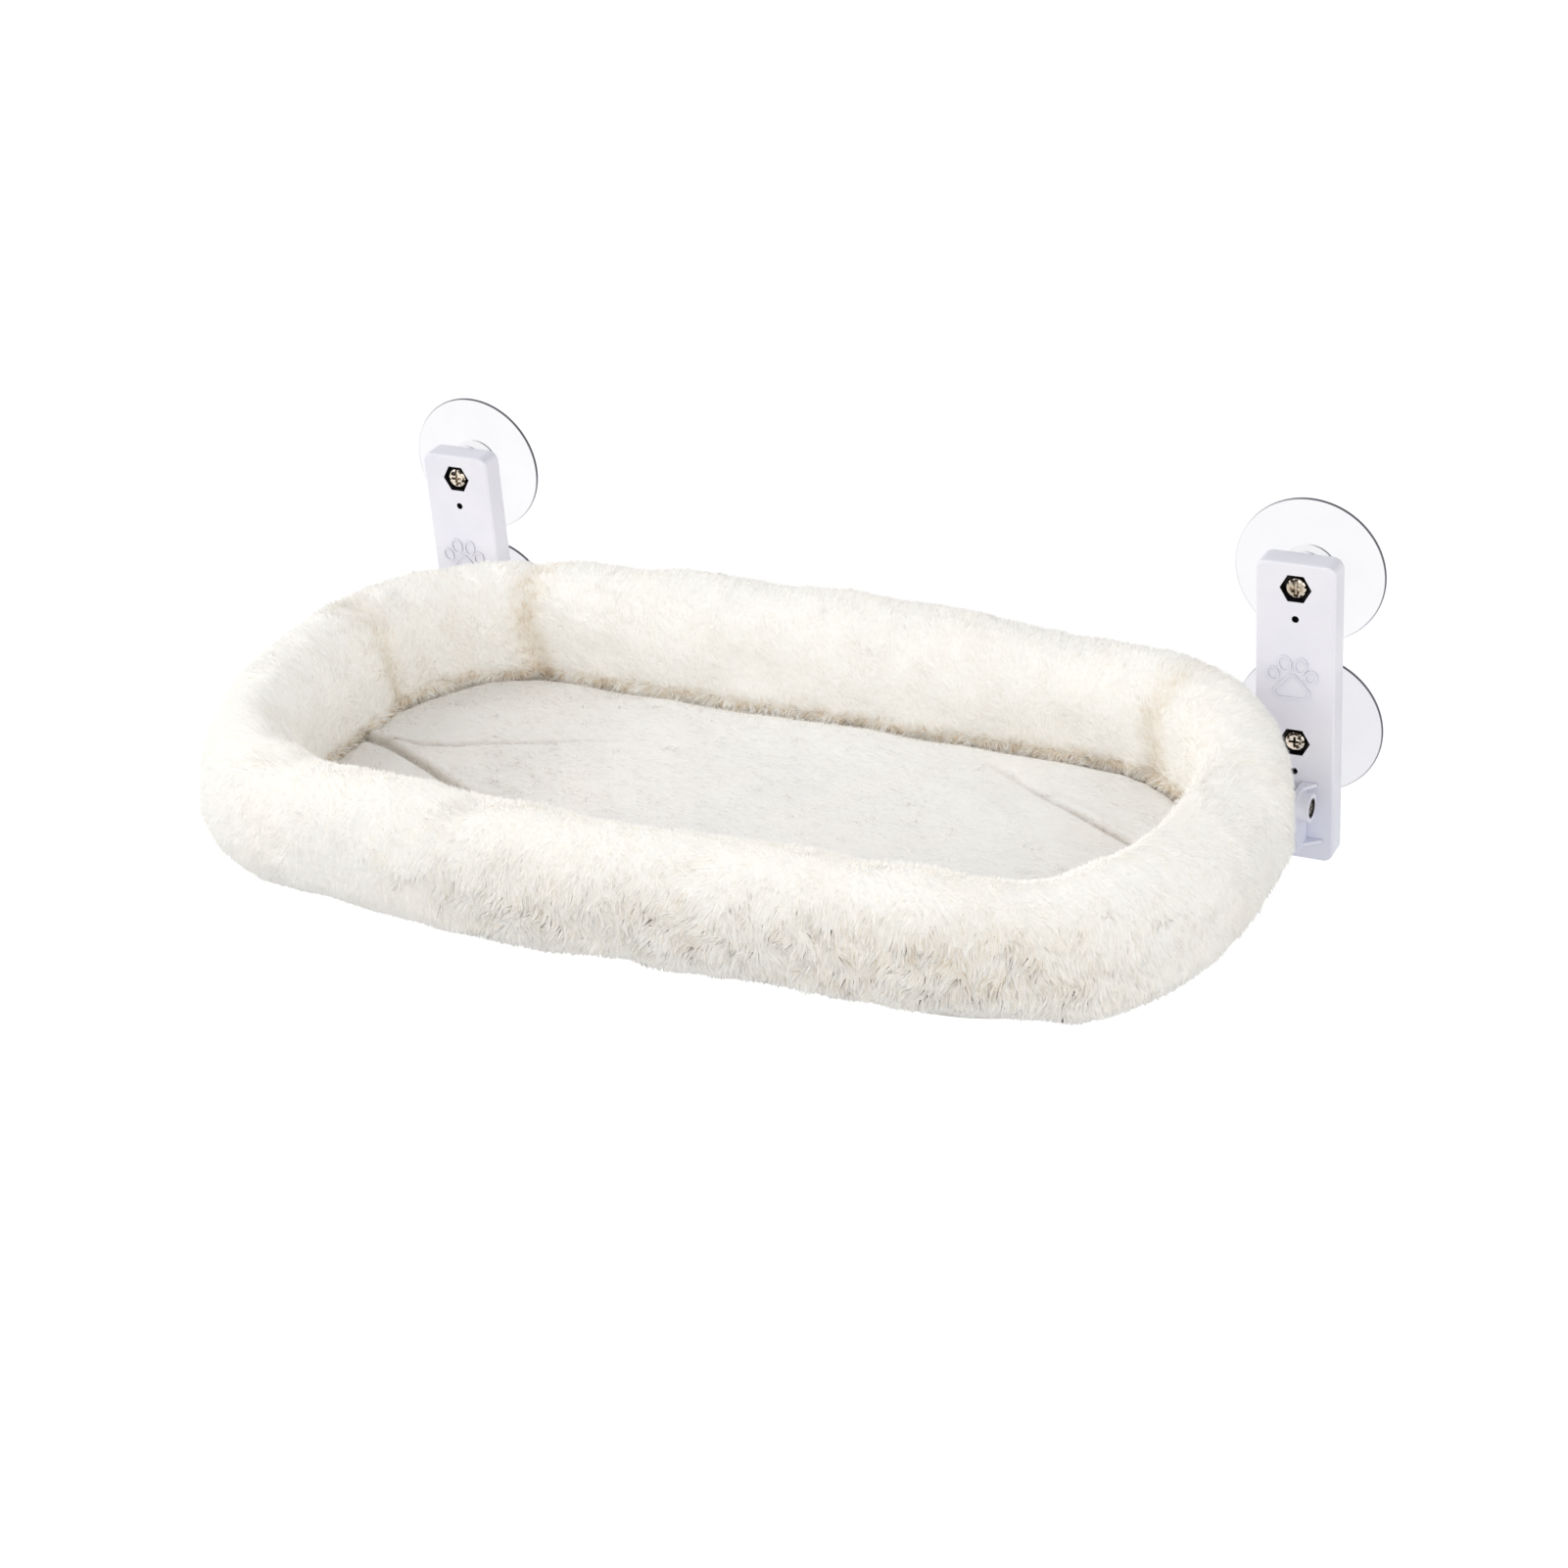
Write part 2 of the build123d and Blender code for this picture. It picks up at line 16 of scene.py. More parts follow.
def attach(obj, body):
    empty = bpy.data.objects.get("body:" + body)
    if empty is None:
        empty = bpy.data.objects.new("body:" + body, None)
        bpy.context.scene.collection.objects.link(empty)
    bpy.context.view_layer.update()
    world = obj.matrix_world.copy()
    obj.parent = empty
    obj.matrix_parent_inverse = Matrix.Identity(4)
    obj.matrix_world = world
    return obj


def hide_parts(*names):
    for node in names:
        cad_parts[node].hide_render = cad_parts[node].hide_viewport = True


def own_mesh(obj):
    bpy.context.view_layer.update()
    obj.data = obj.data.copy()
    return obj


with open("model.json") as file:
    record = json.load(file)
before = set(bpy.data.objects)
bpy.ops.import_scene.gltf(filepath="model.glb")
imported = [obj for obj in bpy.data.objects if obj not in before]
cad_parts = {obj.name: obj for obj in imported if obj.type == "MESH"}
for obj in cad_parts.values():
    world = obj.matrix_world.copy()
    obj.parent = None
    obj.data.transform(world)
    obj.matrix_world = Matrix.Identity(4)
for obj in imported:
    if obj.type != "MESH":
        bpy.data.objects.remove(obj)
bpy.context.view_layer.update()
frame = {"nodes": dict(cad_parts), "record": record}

# %% [markdown]
# ## Units
# Sizes of a product are read in millimetres and Blender works in metres, so one
# value turns one into the other.

# %% Sizes of the bed
MM = 0.001
BED_Y = -177.4 * MM            # middle of the bed, out from the glass
BED_MIDDLE = np.array((0.0, BED_Y))
TUBE_Z = -65.0 * MM            # height of the tube frame's centre line
TUBE_LOOP = (259.0 * MM, 121.0 * MM, 97.0 * MM)      # half length, half depth, corner radius
RIM_LOOP = (270.5 * MM, 132.5 * MM, 108.5 * MM)
RIM_HALF = (29.5 * MM, 39.5 * MM)                    # half width and half height of the stuffing
RIM_Z = -27.8 * MM
RIM_FOOT = -63.9 * MM
PAD_LOOP = (242.6 * MM, 104.6 * MM, 80.6 * MM)
PAD_FOOT = -64.1 * MM
PAD_TOP = -47.2 * MM
SOCKET_HALF = 23.4 * MM        # half the length of the arm's tube socket
BRACKET_X = 259.0 * MM
CUP_Z = 45.25 * MM             # cups and their screws are this far above and below the middle
CUP_RADIUS = 41.5 * MM
BRACKET_FACE_Y = -25.3 * MM
PILOT_DROP = 17.5 * MM         # from each screw down to its pilot hole
HINGE_AXIS = (-37.3 * MM, -77.0 * MM)                # depth and height of the line that the bed turns about
HINGE_SEAT = 10.0 * MM         # from a bracket's middle out to the floor of its hinge bolt's recess

# %% [markdown]
# ## The camera
# The photograph was taken with a long lens from the right and above, with the
# camera leaning a little. The angles below say where the lens stands round the
# object, and the matrix is built from the three directions that they give.

# %% Camera
LENS_MM = 70.56
SENSOR_MM = 36.0
AZIMUTH, ELEVATION, ROLL = np.radians((28.57, 28.06, -4.63))
DISTANCE = 1.618
TARGET = np.array((31.7, -183.3, -29.4)) * MM


def stand(made, right, up, back, place):
    """Puts a new object at a place, turned by the directions of its right, its top and its back."""
    bpy.context.scene.collection.objects.link(made)
    rows = np.vstack([np.column_stack([right, up, back, place]), (0, 0, 0, 1)])
    made.matrix_world = Matrix(rows.tolist())


level = np.cos(ELEVATION)
ahead = np.array((-np.sin(AZIMUTH) * level, np.cos(AZIMUTH) * level, -np.sin(ELEVATION)))
right = np.array((np.cos(AZIMUTH), np.sin(AZIMUTH), 0.0))
up = np.cross(right, ahead)
leaning_right = right * np.cos(ROLL) + up * np.sin(ROLL)
leaning_up = up * np.cos(ROLL) - right * np.sin(ROLL)
lens_place = TARGET - ahead * DISTANCE

camera = bpy.data.objects.new("camera", bpy.data.cameras.new("camera"))
camera.data.lens = LENS_MM
camera.data.sensor_width = SENSOR_MM
stand(camera, leaning_right, leaning_up, -ahead, lens_place)
bpy.context.scene.camera = camera
print("camera stands at", np.round(lens_place, 3))

# %% [markdown]
# ## Nodes and colours
# A material is a small graph of nodes. One function adds a node, gives its
# sockets values or links, and returns it. Another turns a colour as it is
# written for a screen into the linear light that Blender mixes.

# %% Node and colour helpers
def node(tree, kind, inputs=(), **settings):
    """One shader node. Each named input takes a value, or a link if it is given another node's output."""
    made = tree.nodes.new("ShaderNode" + kind)
    for name, value in settings.items():
        setattr(made, name, value)
    for name, value in dict(inputs).items():
        if isinstance(value, bpy.types.NodeSocket):
            tree.links.new(value, made.inputs[name])
        else:
            made.inputs[name].default_value = value
    return made


def linear(code):
    """An sRGB hex code as linear red, green, blue and alpha.

    Low values are divided by 12.92, and the rest follow the 2.4 power.
    """
    parts = np.array([int(code[i:i + 2], 16) for i in (1, 3, 5)]) / 255
    light = np.where(parts <= 0.04045, parts / 12.92, ((parts + 0.055) / 1.055) ** 2.4)
    return (*light.tolist(), 1.0)


def finish_of(name, colour="#FFFFFF", **sockets):
    """A new material with one principled shader. Underscores in a socket's name stand for spaces."""
    made = bpy.data.materials.new(name)
    made.use_nodes = True
    shader = made.node_tree.nodes["Principled BSDF"]
    shader.inputs["Base Color"].default_value = linear(colour)
    for socket, value in sockets.items():
        shader.inputs[socket.replace("_", " ")].default_value = value
    return made, made.node_tree, shader


def grain(tree, where, size, detail=2.0, roughness=0.5):
    """Noise whose blobs are about `size` metres wide: the scale is one over the size."""
    inputs = {"Vector": where, "Scale": 1 / size, "Detail": detail, "Roughness": roughness}
    return node(tree, "TexNoise", inputs).outputs["Fac"]


def mixed(tree, factor, first, second):
    """A mix of two colours by a factor: from a hex code or another node's colour to a hex code."""
    below = linear(first) if isinstance(first, str) else first
    mix = node(tree, "Mix", {"Factor": factor, 6: below, 7: linear(second)}, data_type="RGBA")
    return mix.outputs[2]


def stretch(tree, value, low, high, to_low=0.0, to_high=1.0):
    """A value from low to high spread over to_low to to_high, and held at the ends."""
    inputs = {"Value": value, "From Min": low, "From Max": high, "To Min": to_low, "To Max": to_high}
    return node(tree, "MapRange", inputs).outputs["Result"]


def coloured(tree, shader, factor, first, second):
    """Gives the shader a base colour between two hex codes."""
    tree.links.new(mixed(tree, factor, first, second), shader.inputs["Base Color"])


def shown_as(tree, factor, first, second):
    """Shows the material as the first shader where the factor is 0, and as the second where it is 1."""
    both = node(tree, "MixShader", {0: factor, 1: first.outputs[0], 2: second.outputs[0]})
    tree.links.new(both.outputs[0], tree.nodes["Material Output"].inputs["Surface"])


def bumped(tree, shader, height, depth, strength=1.0):
    """Joins a height to the shader's normal as a bump of `depth` metres."""
    bump = node(tree, "Bump", {"Height": height, "Distance": depth, "Strength": strength})
    tree.links.new(bump.outputs["Normal"], shader.inputs["Normal"])


def object_place(tree):
    """The place on the piece in metres, which stays put while the piece moves."""
    return node(tree, "TexCoord").outputs["Object"]


def parts_of(tree, arrow):
    """The X, Y and Z parts of an arrow."""
    return node(tree, "SeparateXYZ", {"Vector": arrow}).outputs


def math(tree, operation, first, second=0.0):
    """One sum on two values or links."""
    return node(tree, "Math", {0: first, 1: second}, operation=operation).outputs[0]


def length_of(tree, first, second):
    """Length of an arrow from two parts: the root of the sum of their squares."""
    squares = [math(tree, "MULTIPLY", part, part) for part in (first, second)]
    return math(tree, "SQRT", math(tree, "ADD", *squares))


def from_axis(tree, across, height):
    """Distance from lines along Y, at x = +across and -across and at a height, then its parts and y."""
    x, y, z = parts_of(tree, object_place(tree))
    dx = math(tree, "SUBTRACT", x, math(tree, "MULTIPLY", math(tree, "SIGN", x), across))
    dz = math(tree, "SUBTRACT", z, height)
    return length_of(tree, dx, dz), dx, dz, y


# %% [markdown]
# ## White moulded ABS
# The brackets are injection moulded ABS with a satin face. Real mould faces carry
# a spark-eroded grain far finer than a pixel, so it is drawn at 0.6 mm, and a slow
# change of shine stands for handling marks and sink over the ribs. The colour
# leans to lavender, as white plastic with a blue brightener does. Shade is painted
# into the colour: near black inside the screw pockets, pilot holes and hinge
# recesses, darker on the side walls of the raised paw as a soft outline, and darker
# and cooler on faces that look up and on the lower part towards the foot.

# %% Bracket and arm plastic
def moulded(name, colour, shade, rough, grain_mm):
    """Moulded plastic: two near colours mixed by slow noise, fine grain bump and uneven shine."""
    made, tree, shader = finish_of(name, colour, IOR=1.53)
    where = object_place(tree)
    slow = grain(tree, where, 38 * MM, 3.0)
    fine = grain(tree, where, grain_mm * MM, 2.0, 0.6)
    coloured(tree, shader, stretch(tree, slow, 0.35, 0.65), colour, shade)
    shine = stretch(tree, math(tree, "MULTIPLY", slow, fine), 0.15, 0.35, rough - 0.06, rough + 0.08)
    tree.links.new(shine, shader.inputs["Roughness"])
    bumped(tree, shader, fine, 0.03 * MM, 0.5)
    return made


def painted_in(made, mask, colour):
    """Lays a colour over a material's base colour where a mask is 1."""
    tree = made.node_tree
    base = tree.nodes["Principled BSDF"].inputs["Base Color"]
    tree.links.new(mixed(tree, mask, base.links[0].from_socket, colour), base)


PAW_PROUD = 0.8 * MM           # a little more than the paw stands out
HINGE_RECESS = 5.6 * MM        # radii, each a little more than what it goes round
POCKET_RADIUS = 9.2 * MM
PILOT_RADIUS = 2.4 * MM
bracket_abs = moulded("moulded_abs_satin", "#F8F7FD", "#F2F1FA", 0.34, 0.6)
tree = bracket_abs.node_tree
x, y, z = parts_of(tree, object_place(tree))
_, turned, facing = parts_of(tree, node(tree, "TexCoord").outputs["Normal"])
# Painted shade: the steep side walls of the raised paw are painted darker, as the shade along its outline.
paw_wall_shade = stretch(tree, math(tree, "ABSOLUTE", turned), 0.5, 0.95, 0.9, 0.0)
in_front = math(tree, "LESS_THAN", y, BRACKET_FACE_Y - 0.04 * MM)
not_far = math(tree, "GREATER_THAN", y, BRACKET_FACE_Y - PAW_PROUD)
painted_in(bracket_abs, math(tree, "MULTIPLY", paw_wall_shade, math(tree, "MULTIPLY", in_front, not_far)), "#9C9CAA")
# Painted shade: faces that look up are painted darker and cooler.
painted_in(bracket_abs, stretch(tree, facing, 0.3, 0.8, 0.0, 0.55), "#C9C9D4")
# Painted shade: the lower part of the bracket, towards the foot, is painted darker and bluer.
painted_in(bracket_abs, stretch(tree, z, -45 * MM, -105 * MM, 0.0, 0.32), "#BDC4E0")
# Painted shade: the recess of each hinge bolt is painted near black.
to_hinge = [math(tree, "SUBTRACT", part, axis) for part, axis in zip((y, z), HINGE_AXIS)]
in_recess = math(tree, "LESS_THAN", length_of(tree, *to_hinge), HINGE_RECESS)
outside = math(tree, "GREATER_THAN", math(tree, "ABSOLUTE", x), BRACKET_X + HINGE_SEAT)
painted_in(bracket_abs, math(tree, "MULTIPLY", in_recess, outside), "#1E1E22")
# Painted shade: the inside of each screw pocket and pilot hole is painted near black.
for screw_z in (CUP_Z, -CUP_Z):
    for height, radius in ((screw_z, POCKET_RADIUS), (screw_z - PILOT_DROP, PILOT_RADIUS)):
        apart, _, _, y = from_axis(tree, BRACKET_X, height)
        near = math(tree, "LESS_THAN", apart, radius)
        sunk = math(tree, "GREATER_THAN", y, BRACKET_FACE_Y + 0.35 * MM)
        painted_in(bracket_abs, math(tree, "MULTIPLY", near, sunk), "#161618")
arm_nylon = moulded("moulded_nylon_white", "#F6F6F8", "#EFEFF3", 0.46, 0.9)

# %% [markdown]
# ## Nickel plated steel
# Screws, washers and nuts are steel with bright nickel. Nickel is a warmer grey
# than chrome. Rolling and driving leave short scratches, which stretch the noise
# along one way. Bright heads mirror a dark room in blotches, and in an all white
# studio that mottling is painted into the colour of the metal, as painted reflection.

# %% Nickel
nickel, tree, shader = finish_of("nickel_plated_steel", "#C9BFB2", Metallic=1.0, Roughness=0.2)
where = object_place(tree)
along = node(tree, "Mapping", {"Vector": where, "Scale": (1.0, 0.15, 1.0)}).outputs["Vector"]
scratches = grain(tree, along, 0.5 * MM, 4.0, 0.65)
# Painted reflection: blotches of a mirrored dark room, laid into the metal's colour.
painted_reflection = grain(tree, where, 2.4 * MM, 1.0)
coloured(tree, shader, stretch(tree, painted_reflection, 0.5, 0.58), "#E0D5C6", "#3B342E")
tree.links.new(stretch(tree, scratches, 0.3, 0.7, 0.12, 0.32), shader.inputs["Roughness"])
bumped(tree, shader, scratches, 0.02 * MM, 0.4)

# %% Dark oxide washer
# The washers sit deep in their pockets. They are blackened, so each pocket reads as a dark hexagon.
oxide, tree, shader = finish_of("black_oxide_steel", "#2B2A2C", Metallic=1.0, Roughness=0.42)
where = object_place(tree)
bloom = grain(tree, where, 2.5 * MM, 3.0)
coloured(tree, shader, stretch(tree, bloom, 0.35, 0.7), "#1F1E20", "#4A4644")
bumped(tree, shader, grain(tree, where, 0.4 * MM, 3.0), 0.02 * MM, 0.4)

# %% [markdown]
# ## White powder coat
# The tubes are powder coated. The paint flows before it sets, so its skin has a
# slow ripple called orange peel, about two millimetres from crest to crest.

# %% Powder coated tube
powder_coat, tree, shader = finish_of("powder_coat_white", "#F3F3F1", Roughness=0.38, Coat_Weight=0.15)
where = object_place(tree)
peel = grain(tree, where, 2.0 * MM, 1.0)
flecks = grain(tree, where, 0.4 * MM, 2.0)
coloured(tree, shader, stretch(tree, flecks, 0.35, 0.75), "#F5F5F3", "#E7E7E5")
bumped(tree, shader, peel, 0.08 * MM, 0.6)

# %% [markdown]
# ## Clear PVC cups
# Soft clear PVC hardly shows against white: only its gloss, a faint haze and the
# rim, where light has to cross more of it. There a thin dark line of painted shade
# is laid into the colour, on the side away from the lamp. A mix of a transparent and
# a glossy shader gives that without the noise of true glass. The edge of the thick
# hub gets a second short line of painted shade, and the lower cups are painted a
# little greyer, as the shade behind them.

# %% Clear cup
clear_pvc, tree, shader = finish_of("clear_soft_pvc", "#E6E6EE", Roughness=0.12, IOR=1.53)
haze = grain(tree, object_place(tree), 20 * MM, 2.0)
HUB_LINE = 15.7 * MM           # radius of the hub's edge
_, dx, height, _ = from_axis(tree, BRACKET_X, 0.0)
dz = math(tree, "SUBTRACT", height, math(tree, "MULTIPLY", math(tree, "SIGN", height), CUP_Z))
apart = length_of(tree, dx, dz)
lit = math(tree, "MULTIPLY", math(tree, "ADD", dx, dz), 0.71)      # how far to the upper right
# Painted shade: dark lines on the rim and at the hub's edge, stronger towards the upper right, away from the
# lamp.
on_rim = stretch(tree, apart, CUP_RADIUS - 0.9 * MM, CUP_RADIUS - 0.5 * MM)
rim_shade_line = math(tree, "MULTIPLY", on_rim, stretch(tree, lit, -0.3 * CUP_RADIUS, 0.7 * CUP_RADIUS, 0.12, 0.95))
off_hub = math(tree, "ABSOLUTE", math(tree, "SUBTRACT", apart, HUB_LINE))
on_hub = stretch(tree, off_hub, 0.2 * MM, 0.6 * MM, 1.0, 0.0)
hub_shade_line = math(tree, "MULTIPLY", on_hub, stretch(tree, lit, 0.6 * HUB_LINE, 0.95 * HUB_LINE, 0.0, 0.9))
lines = math(tree, "MAXIMUM", rim_shade_line, hub_shade_line)
hub = stretch(tree, apart, HUB_LINE - 0.3 * MM, HUB_LINE + 0.3 * MM, 0.1, 0.0)
cover = math(tree, "ADD", stretch(tree, haze, 0.3, 0.7, 0.0, 0.035), math(tree, "MAXIMUM", lines, hub))
coloured(tree, shader, lines, "#E6E6EE", "#26283C")
# Painted shade: the lower cups see through a little greyer, as the shade behind them.
shaded_see_through = mixed(tree, math(tree, "GREATER_THAN", height, 0.0), "#F1F1F3", "#F8F8F9")
shown_as(tree, cover, node(tree, "BsdfTransparent", {"Color": shaded_see_through}), shader)
bumped(tree, shader, haze, 0.1 * MM, 0.3)

# %% [markdown]
# ## Dressing the hard parts
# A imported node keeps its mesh, and only its material slots change. The record
# names each node's slot, so a table from slot to material does all of them.

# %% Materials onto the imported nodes
FINISHES = {
    "bracket_plastic": bracket_abs,
    "arm_plastic": arm_nylon,
    "clear_cup": clear_pvc,
    "plated_steel": nickel,
    "white_tube": powder_coat,
}
for part in frame["record"]["subparts"]:
    if part["material_slot"] in FINISHES:
        mesh = frame["nodes"][part["node"]].data
        mesh.materials.clear()
        mesh.materials.append(oxide if part["node"].endswith("_washer") else FINISHES[part["material_slot"]])

# %% [markdown]
# ## Surfaces from grids
# A new piece starts as a grid of points, worked out all at once. Each cell of
# the grid becomes one face. A way round that closes joins its last row to its
# first.

# %% Mesh helpers
def grid_faces(rows, columns, round_rows, round_columns):
    """Corner numbers of each cell's face, row by row: (i, j), (i+1, j), (i+1, j+1), (i, j+1)."""
    i = np.arange(rows if round_rows else rows - 1)[:, None]
    j = np.arange(columns if round_columns else columns - 1)[None, :]
    after_i, after_j = (i + 1) % rows, (j + 1) % columns
    corners = [i * columns + j, after_i * columns + j, after_i * columns + after_j, i * columns + after_j]
    return np.stack(corners, axis=-1).reshape(-1, 4)


def mesh_from(name, points, faces):
    """A mesh object from an array of points and an array of faces with equal corner counts."""
    mesh = bpy.data.meshes.new(name)
    count, corners = faces.shape
    mesh.vertices.add(len(points))
    mesh.vertices.foreach_set("co", np.ascontiguousarray(points, np.float32).ravel())
    mesh.loops.add(count * corners)
    mesh.loops.foreach_set("vertex_index", faces.astype(np.int32).ravel())
    mesh.polygons.add(count)
    mesh.polygons.foreach_set("loop_start", np.arange(0, count * corners, corners, dtype=np.int32))
    mesh.polygons.foreach_set("loop_total", np.full(count, corners, np.int32))
    mesh.polygons.foreach_set("use_smooth", np.ones(count, bool))
    mesh.update(calc_edges=True)
    made = bpy.data.objects.new(name, mesh)
    bpy.context.scene.collection.objects.link(made)
    return made


def closed(made, reach=1.0):
    """Fills the open edges that lie within `reach` of x = 0 and turns all faces outwards."""
    build = bmesh.new()
    build.from_mesh(made.data)
    hole = [e for e in build.edges if e.is_boundary and max(abs(v.co.x) for v in e.verts) < reach]
    bmesh.ops.holes_fill(build, edges=hole)
    bmesh.ops.recalc_face_normals(build, faces=build.faces)
    build.to_mesh(made.data)
    build.free()


def raised(flat, height):
    """Points in plan with their heights, as x, y and z."""
    return np.concatenate([flat, np.broadcast_to(height, flat.shape[:2])[..., None]], axis=-1)


def swell(points, size, seed, waves=12):
    """Smooth random values, mostly from -1 to 1.

    It is the sum of sine waves about `size` metres long that run in random ways.
    """
    draw = np.random.default_rng(seed)
    ways = draw.normal(size=(waves, 3))
    ways /= np.linalg.norm(ways, axis=1, keepdims=True)
    ways *= 2 * np.pi / (size * draw.uniform(0.7, 1.5, (waves, 1)))
    return np.sin(points @ ways.T + draw.uniform(0, 2 * np.pi, waves)).sum(axis=-1) / np.sqrt(waves / 2) * 0.7


def swells(points, size, seed):
    """Three swells as the parts of an arrow."""
    return np.stack([swell(points, size, seed + k) for k in range(3)], axis=-1)


def patches(points, size, seed):
    """Random patches about `size` metres wide, from 0 to 1."""
    return np.clip(0.5 + 0.5 * swell(points, size, seed), 0, 1)[:, None]


def bell(distance, width):
    """A smooth hump: 1 at no distance, falling to near nothing past twice the width."""
    return np.exp(-(distance / width) ** 2)


# %% Dark discs behind the pilot holes, as painted shade
END_SIDES = 16
END_RADIUS = 2.6 * MM
turn = np.arange(END_SIDES) * 2 * np.pi / END_SIDES
ends = []
for x in (-BRACKET_X, BRACKET_X):
    for z in (CUP_Z - PILOT_DROP, -CUP_Z - PILOT_DROP):
        ring = (x + END_RADIUS * np.cos(turn), 0 * turn, z + END_RADIUS * np.sin(turn))
        ends.append(np.stack(ring, axis=-1))
fronts, backs = (np.concatenate(ends) + (0, BRACKET_FACE_Y + deep, 0) for deep in (2.7 * MM, 3.3 * MM))
front = np.arange(len(fronts)).reshape(-1, END_SIDES)
back = front + len(fronts)
sides = np.stack([front, back, np.roll(back, -1, axis=1), np.roll(front, -1, axis=1)], axis=-1).reshape(-1, 4)
mesh = bpy.data.meshes.new("pilot_shade_discs")
faces = sides.tolist() + front.tolist() + back[:, ::-1].tolist()
mesh.from_pydata(np.concatenate([fronts, backs]).tolist(), [], faces)
pilot_shade_discs = bpy.data.objects.new("pilot_shade_discs", mesh)
bpy.context.scene.collection.objects.link(pilot_shade_discs)
closed(pilot_shade_discs)
# Painted shade: near black discs set behind the pilot holes make them read as deep, dark holes.
mesh.materials.append(finish_of("pilot_hole_painted_shade", "#0E0E10", Roughness=0.9, Specular_IOR_Level=0.1)[0])

# %% [markdown]
# ## The loop that everything follows
# Frame, rim and pad are all rounded rectangles about one middle. Walked at even
# steps, such a loop is easy to describe: on a straight side the corner's centre
# moves and the direction stays, and on a corner the direction turns and the
# centre stays.

# %% Walking round a rounded rectangle
def walk(half_x, half_y, radius, count):
    """Even steps round a rounded rectangle, from the middle of its right side.

    Gives the points, the outward directions and the lengths walked.
    """
    dx, dy, bend = half_x - radius, half_y - radius, radius * np.pi / 2
    runs = np.array((0, dy, bend, 2 * dx, bend, 2 * dy, bend, 2 * dx, bend, dy))
    knots = np.cumsum(runs)
    centre_x = np.array((dx, dx, dx, -dx, -dx, -dx, -dx, dx, dx, dx))
    centre_y = np.array((0, dy, dy, dy, dy, -dy, -dy, -dy, -dy, 0))
    turns = np.array((0, 0, 1, 1, 2, 2, 3, 3, 4, 4)) * np.pi / 2
    length = np.arange(count) * knots[-1] / count
    angle = np.interp(length, knots, turns)
    out = np.stack([np.cos(angle), np.sin(angle)], axis=-1)
    middle_x, middle_y = np.interp(length, knots, centre_x), np.interp(length, knots, centre_y)
    middle = np.stack([middle_x, middle_y + BED_Y], axis=-1)
    return middle + radius * out, out, length


# %% [markdown]
# ## The stuffed rim
# The real rim is a plush tube stuffed with fibre and sewn to the bed's floor. Its
# section is an upright oval, flat where it rests. Filling is never even, so slow
# and quick swells push the skin in and out, and it pulls in at five gathers near the
# rear corners. The skin lies a few millimetres inside the finished outline, because
# the pile stands out from it.

# %% Rim skin
RIM_STEPS, SECTION_STEPS = 620, 96
PILE_ROOM = 2.2 * MM           # from the skin out to the finished outline
SLEEVE_ROOM = 9.0 * MM         # from the tube's middle to the skin
# Each gather: place round the loop as a share, depth in mm, and how much warm backing and painted shade
# shows.
GATHERS = ((0.099, 1.8, 1.0), (0.387, 2.4, 1.3), (0.425, 0.8, 0.25), (0.447, 0.7, 0.2), (0.470, 1.5, 0.9))
# How far the stuffing pushes the skin out of its plain oval, in mm. Each row is one angle of the
# section (0 is outwards, 90 is up), with pairs of place round the loop and push.
STUFFING = {
    0: ((0, -3), (0.02, -2.5), (0.036, -5.5), (0.045, -6.5), (0.06, -5.5), (0.08, -2), (0.2, 1),
        (0.3, 1), (0.4, -1), (0.5, 0), (0.54, -3), (0.563, -1.6), (0.572, 1.5), (0.582, 4.5), (0.6, 3),
        (0.62, 0), (0.7, 1), (0.8, -1), (0.87, -3), (0.92, 1), (0.96, 0)),
    66: ((0, -3.5), (0.05, -4.5), (0.085, -2), (0.106, -4), (0.12, -4.6), (0.147, -3.8), (0.176, -1.5),
         (0.205, 1.6), (0.249, 4.0), (0.279, 2.8), (0.31, 2.2), (0.343, 0), (0.386, -2.6), (0.44, 0.4),
         (0.474, 0.3), (0.517, 0), (0.54, -3.4), (0.6, -1), (0.66, -1.5), (0.7, -3.5), (0.75, -4),
         (0.79, -3.5), (0.83, -1.5), (0.87, 0), (0.91, -3.5), (0.96, -3)),
    117: ((0, -2), (0.12, -2.5), (0.176, -1), (0.249, 2.4), (0.31, 1.3), (0.386, -1.5), (0.44, 0),
          (0.517, 0), (0.56, -1), (0.66, -1.5), (0.692, -4), (0.735, -4.5), (0.773, -4), (0.83, -1.5),
          (0.868, 0), (0.91, -4), (0.96, -2)),
    180: ((0, 0),),
    212: ((0, 3.0),),
    245: ((0, 0.5),),
    303: ((0, -1), (0.021, -1.5), (0.05, 0), (0.5, 0), (0.57, 3), (0.597, 2.6), (0.618, 0),
          (0.632, -0.6), (0.646, 0.4), (0.667, 2), (0.69, 2.8), (0.709, 3.2), (0.73, 3.0), (0.75, 2.1),
          (0.77, 1.0), (0.789, -1.2), (0.807, -2.3), (0.845, -3.8), (0.877, -4.4), (0.893, -3.0),
          (0.905, 0.6), (0.913, 4.0), (0.922, 5.0), (0.936, 3.4), (0.944, 2.1), (0.963, 0.3),
          (0.975, 0.2)),
}


def stuffing(share, angle):
    """Push over walk and section.

    Each row's pairs are joined by lines round the loop, and then by half a cosine wave from angle to angle.
    """
    rows = np.array([np.interp(share, *np.array(pairs, float).T, period=1) for pairs in STUFFING.values()])
    known = np.radians(list(STUFFING))
    table = np.concatenate([rows, rows[:1]])
    step = np.searchsorted(known, angle, side="right") - 1
    span = np.append(known, 2 * np.pi)
    part = (angle - span[step]) / (span[step + 1] - span[step])
    part = 0.5 - 0.5 * np.cos(np.pi * part)
    return (table[step] * (1 - part)[:, None] + table[step + 1] * part[:, None]).T * MM


